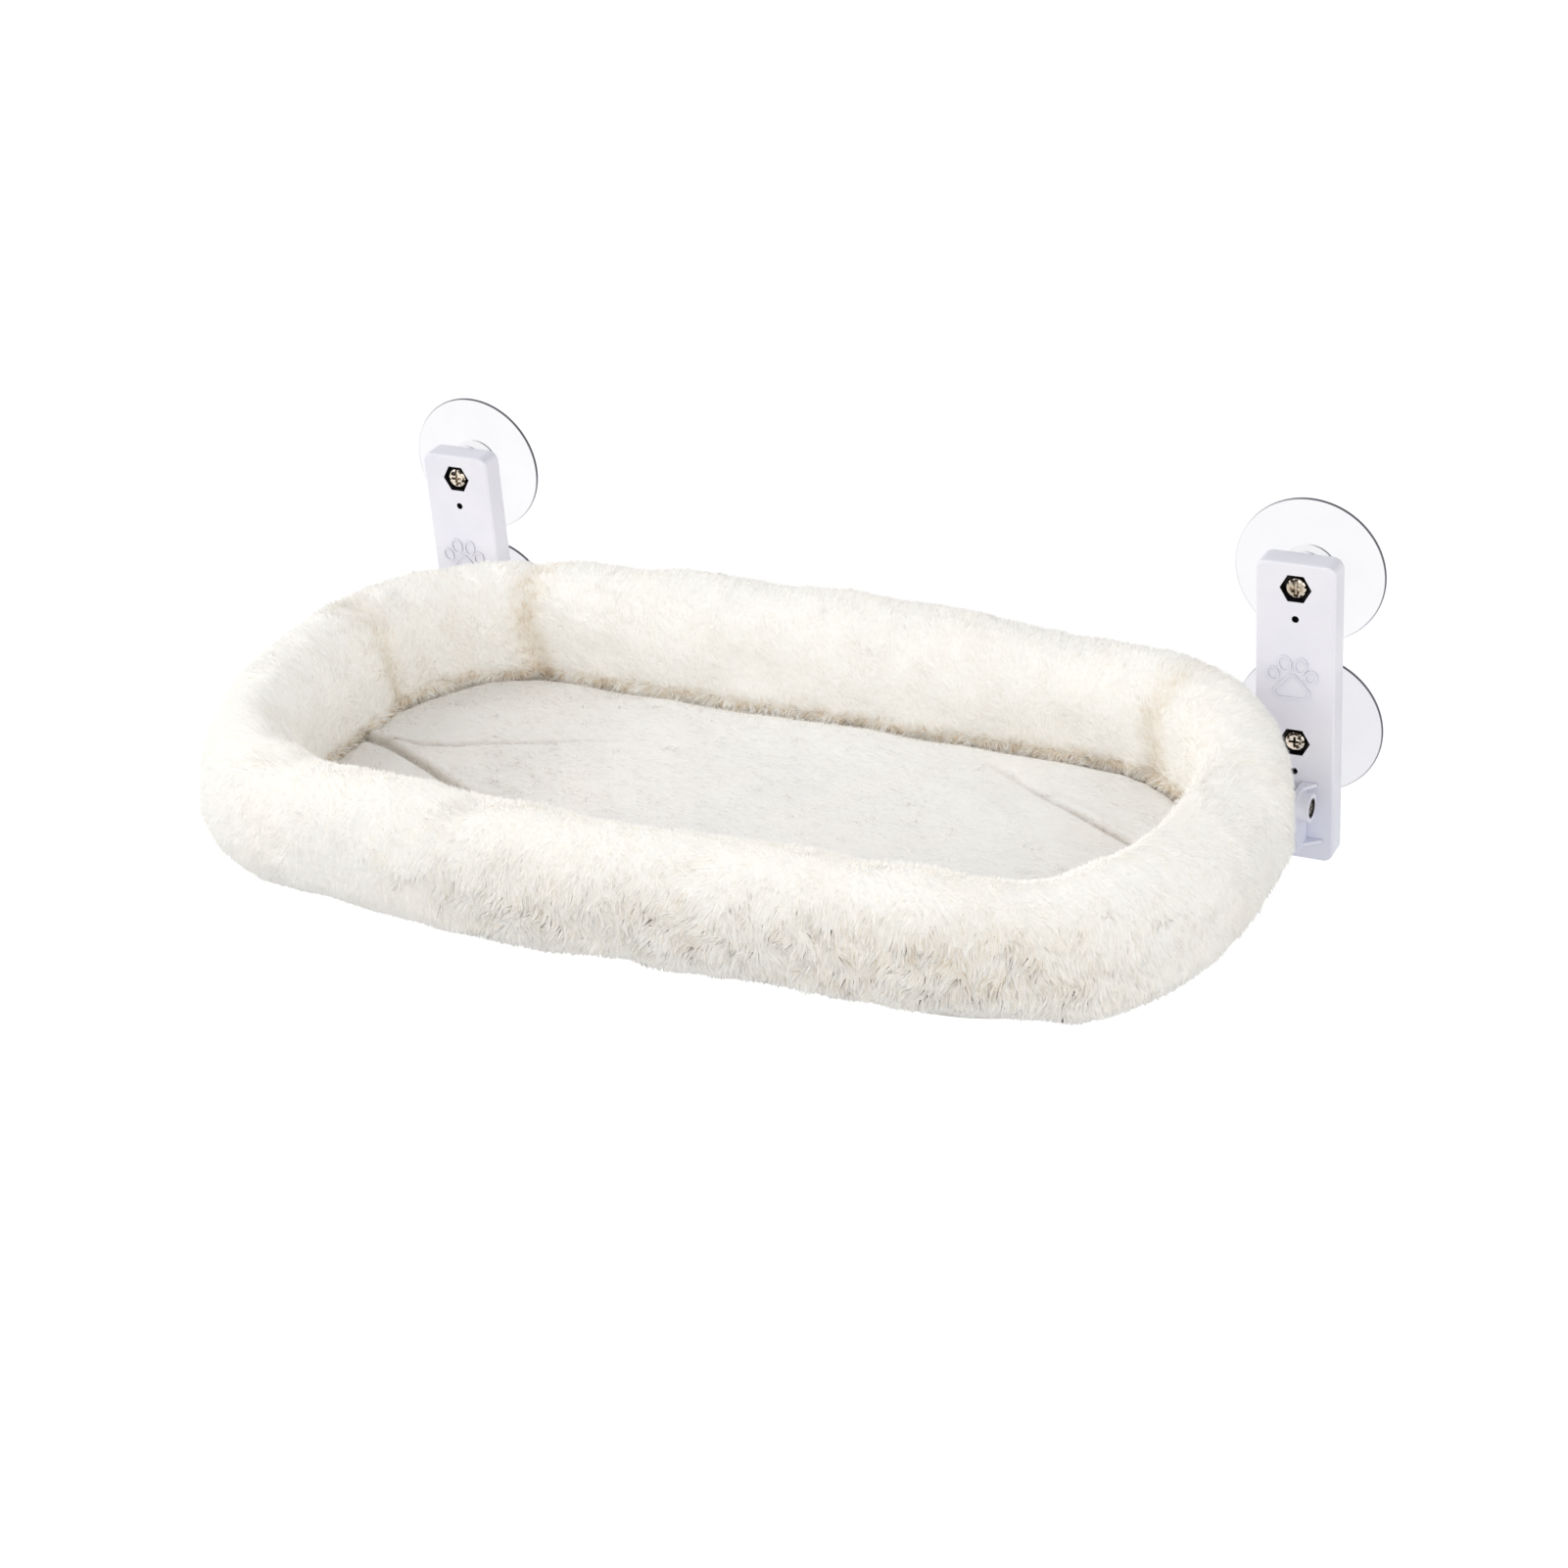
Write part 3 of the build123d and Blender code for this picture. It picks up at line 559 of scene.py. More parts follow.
def rim_skin():
    """Rim surface over walk and section angle, with fields for what the pile has to know.

    The section is an oval's cosine and sine from the loop, pushed out by the stuffing and pulled in at the
    gathers. The fields are the gathers' warm backing and painted shade, the strands, the cream patch, the
    painted shade of the foot seam and the outward directions.
    """
    centre, out, length = walk(*RIM_LOOP, RIM_STEPS)
    share = np.arange(RIM_STEPS) / RIM_STEPS
    around = length[-1] + length[1]
    angle = np.arange(SECTION_STEPS) * 2 * np.pi / SECTION_STEPS
    outwards, upwards = np.cos(angle), np.sin(angle)

    def placed(a, z):
        return raised(centre[:, None] + out[:, None] * a[..., None], z)

    def near_angle(degrees, spread):
        return bell((angle - np.radians(degrees) + np.pi) % (2 * np.pi) - np.pi, np.radians(spread))

    # The plain section: power 2 is an oval, and a higher power is squarer.
    power = np.where(upwards > 0, 2.25, np.where(outwards > 0, 2.5, 5.0))
    half_width, half_height = RIM_HALF[0] - PILE_ROOM, RIM_HALF[1] - PILE_ROOM
    tall = np.where(upwards > 0, half_height, RIM_Z - RIM_FOOT - 0.8 * MM)
    a = np.sign(outwards) * np.abs(outwards) ** (2 / power) * half_width
    a = np.broadcast_to(a, (RIM_STEPS, SECTION_STEPS))
    z = np.broadcast_to(RIM_Z + np.sign(upwards) * np.abs(upwards) ** (2 / power) * tall, a.shape)
    points = placed(a, z)

    # The stuffing, slow and quick swells, and narrow ones in the zone of strands.
    slow, quick, small = swell(points, 80 * MM, 3), swell(points, 34 * MM, 4), swell(points, 14 * MM, 5)
    push = stuffing(share, angle) + (1.1 * slow + 0.6 * quick + 0.3 * small) * MM
    strands = bell(np.maximum(np.abs(share - 0.81) - 0.09, 0), 0.04)[:, None] * near_angle(350, 56)
    push += 0.7 * MM * strands * swell(points, 11 * MM, 6, 24)

    # Each gather is a wavy groove in the inner side, with a lip on both sides of it.
    inner = (0.5 - 0.5 * outwards)[None, :]
    height = np.clip((z - RIM_FOOT) / (22 * MM), 0, 1)
    gathered = np.zeros(a.shape)
    for place, depth, tint in GATHERS:
        gap = (((share - place + 0.5) % 1 - 0.5) * around)[:, None] + 3 * MM * np.sin(z / (9 * MM))
        gathered += tint * bell(gap, 12 * MM) * inner
        push -= depth * MM * bell(gap, 8 * MM) * (0.1 + 0.9 * inner) * height
        push += 0.3 * depth * MM * bell(np.abs(gap) - 17 * MM, 9 * MM) * inner * height

    # The push goes along the oval's outward direction, and the floor and the sleeve stay clear.
    reach = np.hypot(outwards / half_width, upwards / half_height)
    a = a + push * (outwards / half_width / reach)
    z = np.maximum(z + push * (upwards / half_height / reach), RIM_FOOT + 0.5 * MM)
    sleeve_a = TUBE_LOOP[0] - RIM_LOOP[0]
    lift = np.maximum(SLEEVE_ROOM / np.hypot(a - sleeve_a, z - TUBE_Z), 1)
    a, z = sleeve_a + (a - sleeve_a) * lift, TUBE_Z + (z - TUBE_Z) * lift
    cream = bell(share - 0.88, 0.035)[:, None] * near_angle(10, 28)
    # Painted shade: the seam field darkens the crevice where the rim's inner wall meets the pad.
    seam = bell(z - PAD_TOP + 1.8 * MM, 3.2 * MM) * (inner > 0.5)
    return placed(a, z), gathered, strands, cream, seam, out


rim_grid, gathered, strands, cream, seam, rim_out = rim_skin()
plush_rim = mesh_from("plush_rim", rim_grid.reshape(-1, 3), grid_faces(RIM_STEPS, SECTION_STEPS, True, True))
print("rim skin", len(plush_rim.data.polygons), "faces")

# %% [markdown]
# ## Pile
# Plush is thousands of tufts of fibre. Each tuft here is one long thin triangle, a
# blade that is seen from both sides. Roots are spread evenly over a skin by area.
# Blades lie down the way that the cloth was brushed, so they overlap like shingles
# and let light out again, and tips gather into locks, which is what the eye
# reads as fur. To find the locks, space is cut into small warped cells, and every
# tip is drawn towards the middle of the tips in its own cell. The piece keeps two
# attributes for its colour: the height in the pile, by which roots are painted darker
# as shade, and the warmth, which carries warm tone together with painted shade.

# %% Pile helpers
def read(values, name, size, kind=np.float32):
    """One property of all items of a mesh, as an array with `size` numbers in each row."""
    found = np.empty(len(values) * size, kind)
    values.foreach_get(name, found)
    return found.reshape(-1, size)


def triangles_of(mesh):
    """Corner numbers of the mesh's triangles, corner places and corner directions."""
    mesh.calc_loop_triangles()
    corners = read(mesh.loop_triangles, "vertices", 3, np.int32)
    facing = read(mesh.vertex_normals, "vector", 3).astype(float)
    return corners, read(mesh.vertices, "co", 3).astype(float), facing


def scatter(mesh, count, seed, *fields):
    """Even random points on a mesh, with their directions and each field's value there.

    Triangles are drawn by area, and then a point in each by two random shares that are folded to fit.
    """
    corners, places, facing = triangles_of(mesh)
    a, b, c = (places[corners[:, k]] for k in range(3))
    area = np.linalg.norm(np.cross(b - a, c - a), axis=1)
    draw = np.random.default_rng(seed)
    chosen = np.searchsorted(np.cumsum(area) / area.sum(), np.sort(draw.random(count)))
    chosen = np.minimum(chosen, len(corners) - 1)
    u, v = draw.random((2, count))
    folded = u + v > 1
    u, v = np.where(folded, 1 - u, u), np.where(folded, 1 - v, v)
    weights = np.stack([1 - u - v, u, v], axis=-1)[..., None]
    spots, ways, *values = ((f[corners[chosen]] * weights).sum(axis=1) for f in (places, facing, *fields))
    return spots, unit(ways), *values


def unit(ways):
    """Each direction divided by its length."""
    return ways / np.maximum(np.linalg.norm(ways, axis=-1, keepdims=True), 1e-9)


def drawn_together(tips, lock, seed):
    """The middle of the tips in each tip's own cell, and a random share for each cell.

    The cells are cubes of side `lock`, warped so that no rows show.
    """
    warp = swells(tips, 6 * lock.max(), seed) * lock * 1.2
    cell = np.floor((tips + warp) / lock).astype(np.int64)
    cell = np.column_stack([cell - cell.min(axis=0), lock > lock.min()])
    key = np.ravel_multi_index(cell.T, cell.max(axis=0) + 1)
    _, group, size = np.unique(key, return_inverse=True, return_counts=True)
    sums = np.stack([np.bincount(group, tips[:, k]) for k in range(3)], axis=-1)
    return (sums / size[:, None])[group], np.random.default_rng(seed).random((len(size), 1))[group]


def along_skin(field, ways):
    """The part of each arrow along the skin: the arrow less its share of the skin's own direction."""
    return field - (field * ways).sum(axis=1, keepdims=True) * ways


def tufts(spots, ways, brush, length, width, lock, gather, seed):
    """Blades, how far each stands in a parting between locks from 0 to 1, and its lock's own random share.

    A blade has a root with two corners just under the skin and one tip, root + direction x length, which is
    drawn towards the middle of its lock. Its shading turns away from that middle, so that a lock looks round.
    """
    draw = np.random.default_rng(seed)
    count = len(spots)
    tall = length * draw.uniform(0.75, 1.15, (count, 1))
    lock = np.broadcast_to(lock, (count, 1))
    sway = swells(spots, 7 * lock.max(), seed + 20)
    lean = unit(ways + along_skin(brush + 0.6 * sway, ways) + 0.2 * draw.normal(size=(count, 3)))
    tips = spots + lean * tall
    middle, own = drawn_together(tips, lock, seed + 40)
    apart = (tips - middle) / lock
    parting = np.clip((np.linalg.norm(apart, axis=1, keepdims=True) - 0.36) / 0.2, 0, 1)
    lean = unit(tips + (middle - tips) * gather - spots)
    side = unit(np.cross(ways, lean))
    half = width * draw.uniform(0.6, 1.1, count)[:, None]
    base = spots - 0.3 * MM * ways
    points = np.stack([base + half * side, base - half * side, spots + lean * tall], axis=1).reshape(-1, 3)
    faces = np.arange(count * 3).reshape(-1, 3)
    turned = ways + np.cross(lean, side) + 4 * gather ** 2 * apart + gather * draw.normal(size=(count, 3))
    shade = np.repeat(unit(turned), 3, axis=0)
    return (points, faces, shade), parting, own


def with_pile(made, points, faces, shade, skin_warmth_and_shade, tuft_warmth_and_shade):
    """Gives the piece's skin its tufts in one mesh, with attributes for height and warmth.

    The height is 0 at the roots and up to 1 at the tips, where the warm tone and painted shade fade to a
    fifth.
    """
    corners, places, facing = triangles_of(made.data)
    all_points, all_faces = np.concatenate([places, points]), np.concatenate([corners, faces + len(places)])
    joined = mesh_from(made.name + "_pile", all_points, all_faces)
    tips = np.random.default_rng(16).uniform(0.45, 1.0, (len(points) // 3, 1))
    height = np.concatenate([np.full(len(places), 0.45), (tips * (0, 0, 1)).ravel()])
    warmth = np.concatenate([skin_warmth_and_shade.ravel(), (tuft_warmth_and_shade * (1, 1, 0.2)).ravel()])
    for name, values in (("pile_height", height), ("pile_warmth_and_shade", warmth)):
        attribute = joined.data.attributes.new(name, "FLOAT", "POINT")
        attribute.data.foreach_set("value", values.astype(np.float32))
    joined.data.normals_split_custom_set_from_vertices(np.concatenate([facing, shade]))
    name, old = made.name, made.data
    bpy.data.objects.remove(made)
    bpy.data.meshes.remove(old)
    joined.name = joined.data.name = name
    return joined


# %% Rim pile
RIM_TUFTS = 460000             # drawn; half of them are kept, and all of them along the foot seam
LOCK, STRAND_LOCK = 4.4 * MM, 2.9 * MM
skin_out = np.repeat(np.column_stack([rim_out, np.zeros(RIM_STEPS)]), SECTION_STEPS, axis=0)
outer = np.tile(np.cos(np.arange(SECTION_STEPS) * 2 * np.pi / SECTION_STEPS), (RIM_STEPS, 1))
fields = [f.reshape(-1, 1) for f in (strands, cream, seam, gathered, outer)]
found = scatter(plush_rim.data, RIM_TUFTS, 11, skin_out, *fields)
_, ways, _, _, _, dark, _, outer = found
kept = (ways[:, 2] > -0.6) | (outer[:, 0] > 0)
kept &= np.random.default_rng(18).random(RIM_TUFTS) < 0.5 + dark[:, 0]
spots, ways, outwards, strand, tint, dark, parted, _ = (values[kept] for values in found)

# The nap runs up the inner wall, over the top and down the outer face. At the foot seam it turns down.
forward = np.column_stack([-outwards[:, 1], outwards[:, 0], outwards[:, 2]])
nap = unit(np.cross(forward, ways))
slow, wild = swells(spots, 120 * MM, 60), swells(spots, 14 * MM, 64)
brush = (1.9 - 0.4 * strand) * nap + 0.4 * slow + 0.9 * strand * wild
brush *= 1 - 1.5 * dark

# Blades are longer among the strands and at the seam, and shorter underneath. Lengths are in mm.
low_edge = np.clip((ways[:, 2:] + 0.2) / -0.35, 0, 1)
under = np.clip((ways[:, 2:] + 0.6) / -0.3, 0, 1)
tall = (4.6 + 2.4 * strand) * (1 - 0.5 * low_edge) * (1 - 0.3 * under) + 1.8 * dark
half = 0.38 + 0.1 * strand
gather = 0.28 + 0.4 * strand + 0.3 * dark
lock = np.where(strand > 0.35, STRAND_LOCK, LOCK)
pile, parting, own = tufts(spots, ways, brush, tall * MM, half * MM, lock, gather, 12)

# %% Warm tone and painted shade of the rim
patchy, broken = patches(spots, 16 * MM, 14), patches(spots, 7 * MM, 17)
each = np.random.default_rng(15).random((len(spots), 1))
# Gathers show warm backing and painted shade in their creases, the foot seam gets painted shade in its
# crevice, and the cream patch is a warm tone.
by_place = (
    1.1 * parted * own * (0.4 + each)                   # gathers
    + 3.6 * dark * broken * each ** 1.5                 # foot seam
    + 0.7 * tint * (0.2 + own ** 2) * patchy            # cream patch
)
# Partings between locks get painted shade; some locks and some blades are a random warmer tone.
by_fibre = (
    parting * (0.08 + strand * (0.04 + 0.25 * patchy))  # between locks
    + own ** 4 * (0.1 + 0.2 * strand * patchy)          # some locks
    + each ** 4 * (0.08 + 0.35 * strand)                # some blades
)
# The skin under the pile: warm backing and painted shade in the gathers, painted shade at the foot seam, a
# warm cream patch and the strands.
skin_warmth_and_shade = 0.4 * gathered + 0.7 * seam + 0.3 * cream + 0.08 * strands
plush_rim = with_pile(plush_rim, *pile, skin_warmth_and_shade, by_place + by_fibre)
print("rim pile", len(spots), "tufts")

# %% [markdown]
# ## The floor pad
# The pad is a thin loose cushion of shorter pile. It starts as a closed slab with a
# round edge: rings run from its middle out to the edge and back underneath. Then it
# is filled by a cloth simulation. Pressure blows the cover up, while the edge, the
# underside and the lines of its folds are held, so it swells softly between them.

# %% Pad slab
PAD_STEPS = 480
PAD_RINGS = 76                 # from the middle to where the edge turns down
PAD_EDGE = 3 * MM
# Each fold in the cover: its line (mm across and along from the middle), its depth at the start, in the
# middle and at the end, and its width (mm).
FOLDS = (
    (((-242, 1), (-215, -8.5), (-179, -24.6), (-152, -37), (-135.5, -42), (-105, -52)), (5.4, 4.4, 0), 2.2),
    (((-222, -3), (-180, 7), (-150, 22), (-113, 34.6), (-85, 42)), (2.6, 1.4, 0), 1.6),
    (((104, 86), (117, 78), (146, 61), (166, 50), (185, 39.5), (213, 26), (240, 10)), (0, 2.4, 3.4), 2.0),
)


def to_line(points, line):
    """Distance in plan from each point to a bent line, and how far along it that is, from 0 to 1."""
    least, place = np.full(len(points), np.inf), np.zeros(len(points))
    for number, (start, end) in enumerate(zip(line[:-1], line[1:])):
        run = end - start
        along = np.clip(((points - start) @ run) / (run @ run), 0, 1)
        apart = np.linalg.norm(points - start - along[:, None] * run, axis=1)
        place = np.where(apart < least, (number + along) / (len(line) - 1), place)
        least = np.minimum(least, apart)
    return least, place


def pad_slab():
    """Pad surface over walk and profile.

    The profile goes from the middle of the top out to the edge, round by the sine and cosine of two quarter
    circles, and back underneath.
    """
    edge, out, _ = walk(*PAD_LOOP, PAD_STEPS)
    turn = np.linspace(0, np.pi / 2, 10)[1:]
    inset = np.concatenate([np.full(PAD_RINGS, PAD_EDGE), PAD_EDGE * (1 - np.sin(turn))])
    share = np.concatenate([np.linspace(0.02, 1, PAD_RINGS), np.ones(len(turn))])
    fall = np.concatenate([np.ones(PAD_RINGS), np.cos(turn)])
    room, thick = 0.3 * MM, PAD_TOP - PAD_FOOT
    belly, crown = 0.62 * thick, 0.38 * thick       # heights below and above the widest line
    top = PAD_FOOT + belly + (crown - room) * fall * (0.8 + 0.2 * (1 - share ** 2))
    low = PAD_FOOT + belly * (1 - fall)
    height = np.concatenate([top, low[::-1]])
    inset, share = (np.concatenate([half, half[::-1]]) for half in (inset, share))
    loops = edge[:, None] - (inset + room)[None, :, None] * out[:, None]
    flat = BED_MIDDLE + (loops - BED_MIDDLE) * share[None, :, None]
    return raised(flat, height)


pad_grid = pad_slab()
pad_faces = grid_faces(*pad_grid.shape[:2], True, False)
seat_pad_cover = mesh_from("seat_pad_cover", pad_grid.reshape(-1, 3), pad_faces)
closed(seat_pad_cover)

# %% Filling the pad
VOXEL = 6 * MM
PRESSURE = 4.0
FRAMES = 20
MOST_SWELL = 3.5 * MM


def settled(made):
    """The piece's mesh with its modifiers worked in."""
    return bpy.data.meshes.new_from_object(made.evaluated_get(bpy.context.evaluated_depsgraph_get()))


def filled(made):
    """Even squares first, then cloth under pressure. Held points stay, and the cap limits all other moves."""
    made.modifiers.new("squares", "REMESH").voxel_size = VOXEL
    made.data = settled(made)
    made.modifiers.clear()
    start = read(made.data.vertices, "co", 3).astype(float)
    folds = [to_line(start[:, :2] - BED_MIDDLE, np.array(line) * MM)[0] for line, _, _ in FOLDS]
    held = (start[:, 2] < PAD_TOP - 5 * MM) | (np.min(folds, axis=0) < 0.6 * VOXEL)
    made.vertex_groups.new(name="held").add(np.flatnonzero(held).tolist(), 1.0, "REPLACE")
    cloth = made.modifiers.new("filling", "CLOTH").settings
    cloth.use_pressure = True
    cloth.uniform_pressure_force = PRESSURE
    cloth.effector_weights.gravity = 0.0
    cloth.vertex_group_mass = "held"
    for step in range(1, FRAMES + 1):
        bpy.context.scene.frame_set(step)
    moves = read(settled(made).vertices, "co", 3).astype(float) - start
    made.modifiers.clear()
    far = np.linalg.norm(moves, axis=1, keepdims=True)
    moves *= np.minimum(1, MOST_SWELL / np.maximum(far, 1e-9))
    made.data.vertices.foreach_set("co", (start + moves).astype(np.float32).ravel())
    bpy.context.scene.frame_set(1)
    made.modifiers.new("finer", "SUBSURF").levels = 2
    made.data = settled(made)
    made.modifiers.clear()
    made.vertex_groups.clear()
    print(f"filling moved the cover by up to {far.max() / MM:.1f} mm, kept up to {MOST_SWELL / MM:.1f}")


filled(seat_pad_cover)
mesh = seat_pad_cover.data
mesh.polygons.foreach_set("use_smooth", np.ones(len(mesh.polygons), bool))
print("pad skin", len(mesh.polygons), "faces")

# %% Folds of the pad
def folded(points, upward):
    """Height added to the cover, fading where it turns down at its edge, and its warm tone and painted shade.

    There are slow swells, and a groove along each fold with a lip beside it.
    """
    plan = points[:, :2] - BED_MIDDLE
    press, lip = np.zeros(len(plan)), np.zeros(len(plan))
    for line, depths, width in FOLDS:
        line = np.array(line) * MM
        near, place = to_line(plan, line)
        beside, _ = to_line(plan - (0.4 * width * MM, 1.9 * width * MM), line)
        depth = np.interp(place, (0, 0.5, 1), depths) * MM
        press += depth * bell(near, width * MM)
        lip += 0.55 * depth * bell(beside, 2.6 * width * MM)
    slow = 0.9 * MM * swell(points, 70 * MM, 8) + 0.35 * MM * swell(points, 26 * MM, 9)
    right_end = bell(np.maximum(195 * MM - plan[:, 0], 0), 30 * MM)
    left_end_shade = bell(np.maximum(plan[:, 0] + 150 * MM, 0), 60 * MM)
    rear_edge_shade = bell(np.maximum(PAD_LOOP[1] - 3 * MM - plan[:, 1], 0), 3 * MM)
    # A warm tone at the right end; painted shadow at the left end; painted shade in the folds and along the
    # rear edge, where the pad meets the rim.
    warmth = 0.05 * right_end + 0.25 * left_end_shade + 0.22 * press / MM + 0.5 * rear_edge_shade
    return np.clip(upward, 0, 1) * (slow + lip - press), warmth


_, places, facing = triangles_of(mesh)
rise, pad_warmth_and_shade = folded(places, facing[:, 2])
places[:, 2] += rise
mesh.vertices.foreach_set("co", places.astype(np.float32).ravel())
mesh.update()

# %% Pad pile
PAD_TUFTS = 110000             # drawn; those on the underside are left out
PAD_LOCK = 2.6 * MM
skin_warmth_and_shade = pad_warmth_and_shade.reshape(-1, 1)
drawn = scatter(seat_pad_cover.data, PAD_TUFTS, 21, skin_warmth_and_shade)
above = drawn[1][:, 2] > -0.2
spots, ways, warmth = (v[above] for v in drawn)
brush = np.array((2.2, -1.0, 0.0)) + 0.7 * swells(spots, 150 * MM, 80)
tall = (3.0 + 1.4 * np.clip(warmth, 0, 1)) * MM
pile, parting, own = tufts(spots, ways, brush, tall, 0.28 * MM, PAD_LOCK, 0.45, 22)
each = np.random.default_rng(25).random(warmth.shape)
# Partings between locks get painted shade; some locks and blades are a random warmer tone.
warmth = warmth * (0.7 + 0.6 * own) + (parting + own ** 3) * (0.16 + 0.6 * warmth) + 0.4 * each ** 4
seat_pad_cover = with_pile(seat_pad_cover, *pile, skin_warmth_and_shade, warmth)
print("pad pile", len(spots), "tufts")

# %% [markdown]
# ## Plush and fleece
# Both are polyester pile. White fibre scatters light over and over, so it has
# almost no gloss but a soft sheen at the edges. Roots are painted a little darker
# than tips, as the shade deep in the pile. Where the pile is parted or pressed, by
# gathers, seams and folds, its warmer backing shows, and painted shade is laid
# there too in the same backing colour, which the warmth attribute carries. A blade
# seen from behind lets the light of its other side through, as a thin bundle of
# white fibre does. A streaky relief two or three millimetres wide is the unevenness of the nap.

# %% Plush materials
def pile_finish(name, root, tip, warm, backing, streak, relief):
    """Pile: root and tip colours by height, with roots painted darker as shade, warm patches, backing and
    painted shade by warmth, streaky relief and sheen.
    """
    made, tree, shader = finish_of(
        name, tip, Roughness=0.95, Specular_IOR_Level=0.2, Sheen_Weight=0.25, Sheen_Roughness=0.5
    )
    where = object_place(tree)
    height = node(tree, "Attribute", attribute_name="pile_height").outputs["Fac"]
    warmth = node(tree, "Attribute", attribute_name="pile_warmth_and_shade").outputs["Fac"]
    slow = stretch(tree, grain(tree, where, 60 * MM, 3.0), 0.48, 0.72, 0.0, 0.6)
    # Painted shade: the root colour is darker than the tip colour, as the shade deep in the pile.
    body = mixed(tree, slow, mixed(tree, height, root, tip), warm)
    # The backing colour is laid on by warmth: warm backing where the pile parts, and painted shade in creases
    # and between locks.
    body = mixed(tree, stretch(tree, warmth, 0.0, 1.0), body, backing)
    tree.links.new(body, shader.inputs["Base Color"])
    along = {"Vector": where, "Rotation": (0.0, 0.0, 0.45), "Scale": (0.4, 1.0, 0.7)}
    nap = node(tree, "Mapping", along).outputs["Vector"]
    bumped(tree, shader, grain(tree, nap, streak, 2.0, 0.6), relief)
    behind = math(tree, "MULTIPLY", node(tree, "NewGeometry").outputs["Backfacing"], 0.74)
    shown_as(tree, behind, shader, node(tree, "BsdfTranslucent", {"Color": body}))
    return made


plush = pile_finish("polyester_plush_cream", "#F8F6F1", "#FFFFFD", "#FDFAF5", "#E2D2BB", 3.4 * MM, 0.9 * MM)
fleece = pile_finish("polyester_fleece_pale", "#F0EEEA", "#FFFEFC", "#FBF7F2", "#CEC7BD", 2.2 * MM, 0.9 * MM)
plush_rim.data.materials.append(plush)
seat_pad_cover.data.materials.append(fleece)

# %% [markdown]
# ## The cloth floor
# Under the pad a sheet of plain weave spans the frame. Its hem is sewn into a
# sleeve that the tubes slide through, cut away where the arms hold the tubes. One
# profile is carried round the loop: in from the middle, out to the sleeve, once
# round the tube and back to its own start.

# %% Cloth floor
CLOTH_STEPS, FLAT_RINGS = 480, 44
SLEEVE = 7.1 * MM              # radius of the cloth round the tube
SAG = 2.2 * MM                 # how far the cloth hangs in the middle
THREAD = 0.7 * MM              # from thread to thread


def cloth_floor():
    """Cloth over walk and profile: flat from the middle to the sleeve, then a circle round the tube."""
    edge, out, _ = walk(*TUBE_LOOP, CLOTH_STEPS)
    share = np.linspace(0.02, 0.93, FLAT_RINGS)
    flat = BED_MIDDLE + (edge[:, None] - BED_MIDDLE) * share[None, :, None]
    sheet = raised(flat, TUBE_Z - SAG * (1 - share ** 2))
    turn = np.linspace(np.pi, 3 * np.pi, 25)
    loop = edge[:, None] + out[:, None] * (SLEEVE * np.cos(turn))[None, :, None]
    return np.concatenate([sheet, raised(loop, TUBE_Z + SLEEVE * np.sin(turn))], axis=1), edge


cloth_grid, cloth_edge = cloth_floor()
faces = grid_faces(*cloth_grid.shape[:2], True, False)
row, column = np.divmod(faces[:, 0], cloth_grid.shape[1])
at_socket = (np.abs(cloth_edge[row, 1] - BED_Y) < SOCKET_HALF) & (column >= FLAT_RINGS - 2)
sling_cloth = mesh_from("sling_cloth", cloth_grid.reshape(-1, 3), faces[~at_socket])
closed(sling_cloth, 20 * MM)
thickness = sling_cloth.modifiers.new("thickness", "SOLIDIFY")
thickness.thickness, thickness.offset = 1.1 * MM, 0.0
cloth_area = sum(p.area for p in sling_cloth.data.polygons)
print("cloth area", round(cloth_area, 4), "square metres")

weave, tree, shader = finish_of("oxford_polyester_offwhite", "#E9E6E0", Roughness=0.8, Sheen_Weight=0.15)
where = object_place(tree)
waves = {"Vector": where, "Scale": 1 / (np.pi * THREAD), "Distortion": 0.4, "Detail": 1.0}
warp, weft = (node(tree, "TexWave", waves, bands_direction=way).outputs["Fac"] for way in ("X", "Y"))
threads = math(tree, "MULTIPLY", warp, weft)
coloured(tree, shader, threads, "#D9D5CE", "#F0EEE9")
bumped(tree, shader, threads, 0.25 * MM, 0.6)
sling_cloth.data.materials.append(weave)

# %% [markdown]
# ## Which piece stands for which node
# Each new piece rides on the bed and hides the plain solids that it stands for.

# %% Riding and replacing
for piece, nodes, slot in (
    (plush_rim, ("front_bolster", "rear_bolster"), "plush"),
    (seat_pad_cover, ("seat_pad",), "pad_fleece"),
    (sling_cloth, ("sling",), "sling_cloth"),
):
    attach(piece, "bed")
    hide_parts(*nodes)
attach(pilot_shade_discs, "brackets")
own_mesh(plush_rim)

# %% [markdown]
# ## Light and background
# A white studio: the sky lights everything softly and evenly, a large lamp from the
# left gives the shapes their shade, two weaker ones open up the right and the front,
# and a light grey floor lies far below. The camera sees the background at full white,
# while the light itself stays plain.

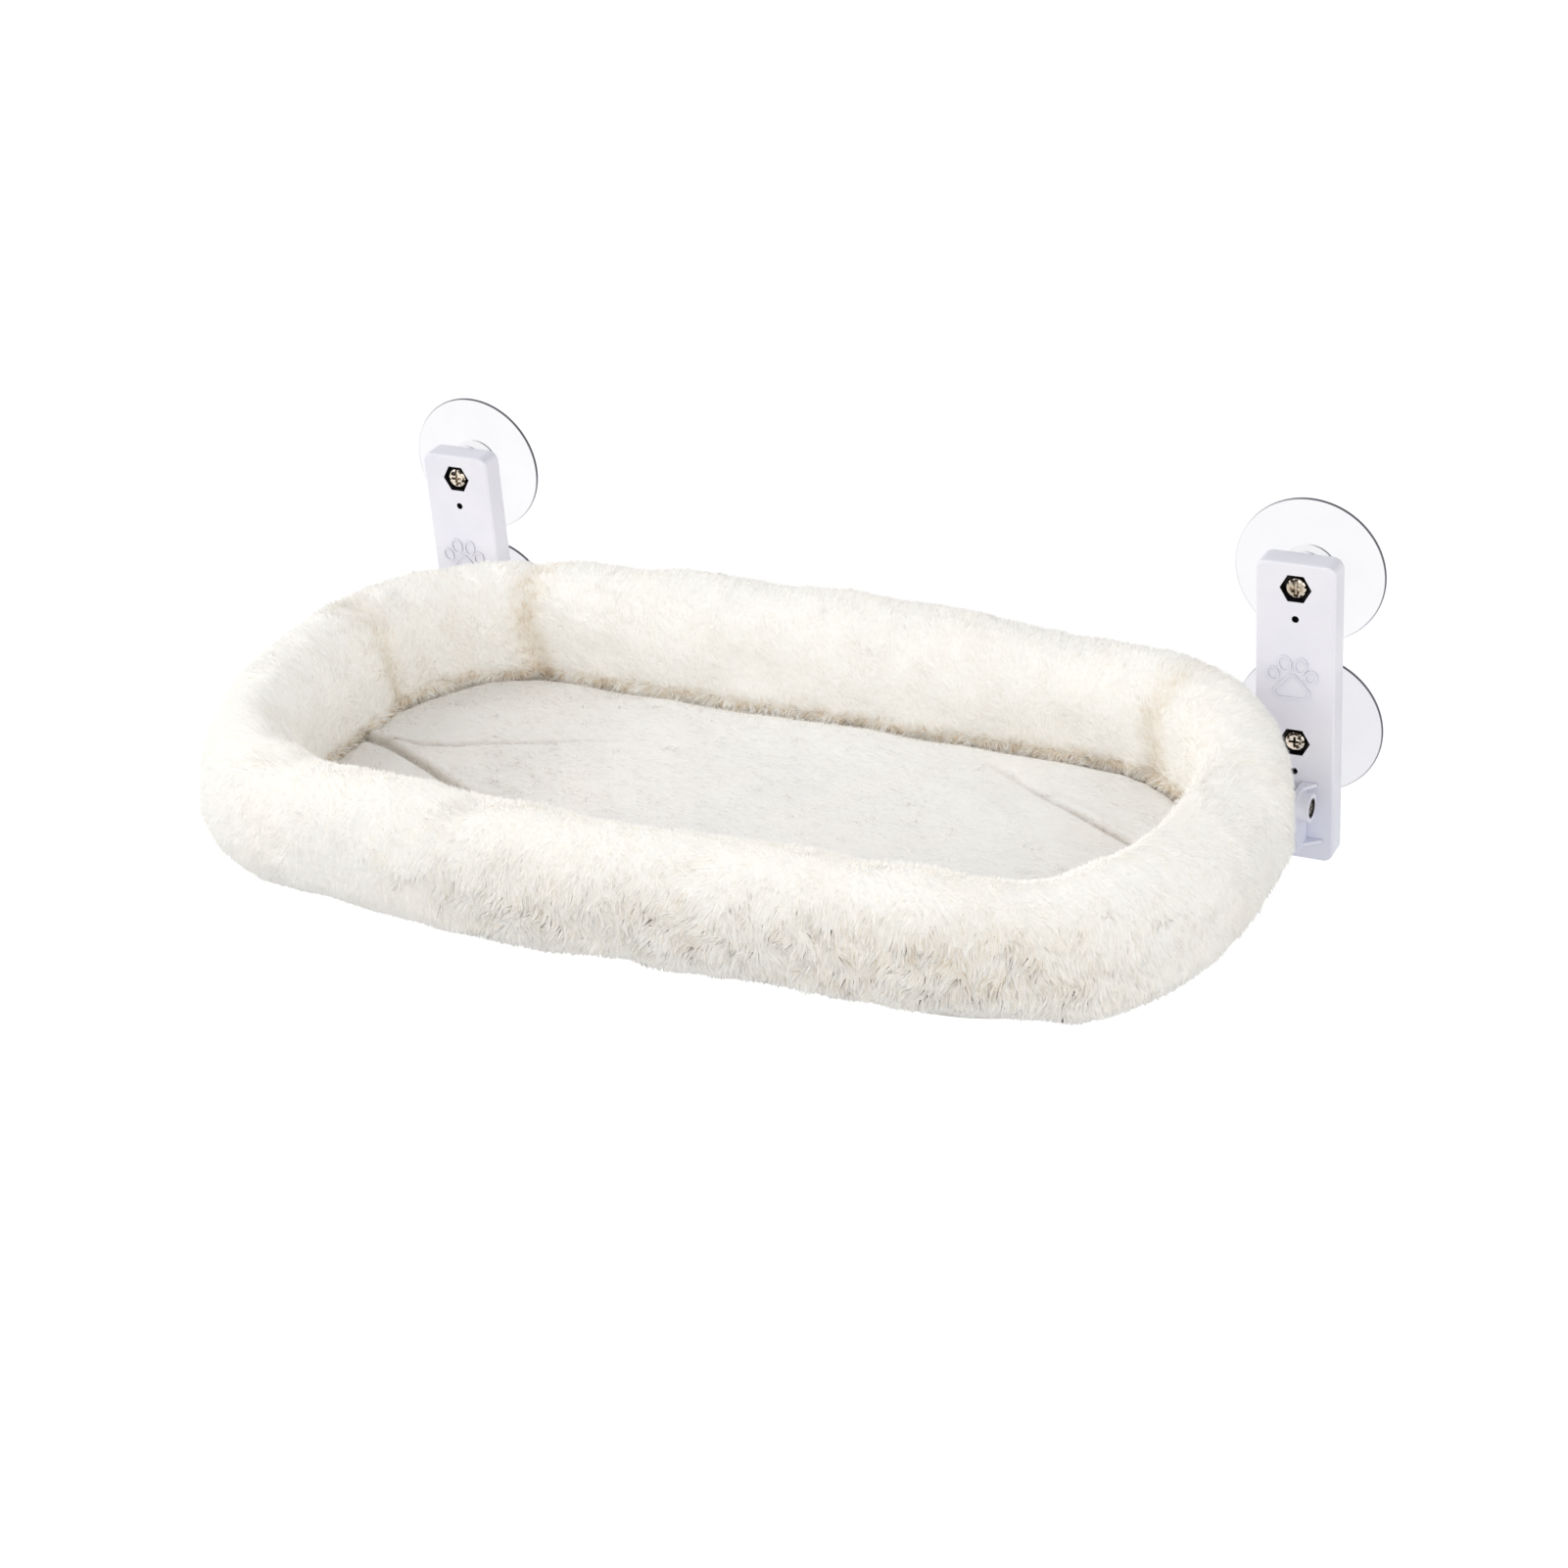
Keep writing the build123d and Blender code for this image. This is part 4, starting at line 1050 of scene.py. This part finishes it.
# %% Studio
SKY_LIGHT = 0.68               # strength of the sky as a light, while the camera sees it at 1
FLOOR_GLOW = 0.58              # what the camera sees of the floor beyond its lit colour
LAMP_SIZE = 1.4                # metres, as are the places below
LAMP_AIM = (0.0, -0.18, -0.03)


def seen(tree):
    """1 on rays that show the background, straight, mirrored or through plastic, and 0 on others."""
    path = node(tree, "LightPath").outputs
    shown = math(tree, "MAXIMUM", path["Is Camera Ray"], path["Is Glossy Ray"])
    return math(tree, "MAXIMUM", shown, path["Is Transmission Ray"])


def soft_lamp(name, place, power):
    """A square area lamp at a place in metres, turned to face the bed, with its power in watts."""
    lamp = bpy.data.objects.new(name, bpy.data.lights.new(name, "AREA"))
    lamp.data.size, lamp.data.energy = LAMP_SIZE, power
    back = unit(np.subtract(place, LAMP_AIM))
    side = unit(np.cross((0, 0, 1), back))
    stand(lamp, side, np.cross(back, side), back, place)


world = bpy.data.worlds.new("studio")
bpy.context.scene.world = world
world.use_nodes = True
tree = world.node_tree
sky = tree.nodes["Background"]
sky.inputs["Color"].default_value = (1.0, 1.0, 1.0, 1.0)
tree.links.new(stretch(tree, seen(tree), 0.0, 1.0, SKY_LIGHT, 1.0), sky.inputs["Strength"])
soft_lamp("left_lamp", (-2.2, -0.5, 1.3), 25)
soft_lamp("right_lamp", (2.2, -1.2, 0.9), 12)
soft_lamp("front_lamp", (0.2, -2.8, 0.9), 10)

# %% Floor
FLOOR_Z = -0.65
FLOOR_HALF = 12.0
corners = np.array(((-1, -1), (1, -1), (1, 1), (-1, 1))) * FLOOR_HALF
floor = mesh_from("floor", np.column_stack([corners, np.full(4, FLOOR_Z)]), np.array([[0, 1, 2, 3]]))
paper, tree, shader = finish_of("white_paper", "#CDCDCD", Roughness=1.0)
glow = node(tree, "Emission", {"Strength": stretch(tree, seen(tree), 0.0, 1.0, 0.0, FLOOR_GLOW)})
lit = node(tree, "AddShader", {0: shader.outputs[0], 1: glow.outputs[0]})
from_below = node(tree, "NewGeometry").outputs["Backfacing"]
shown_as(tree, from_below, lit, node(tree, "BsdfTransparent"))
floor.data.materials.append(paper)

# %% Scene settings
bpy.context.scene.view_settings.view_transform = "Standard"
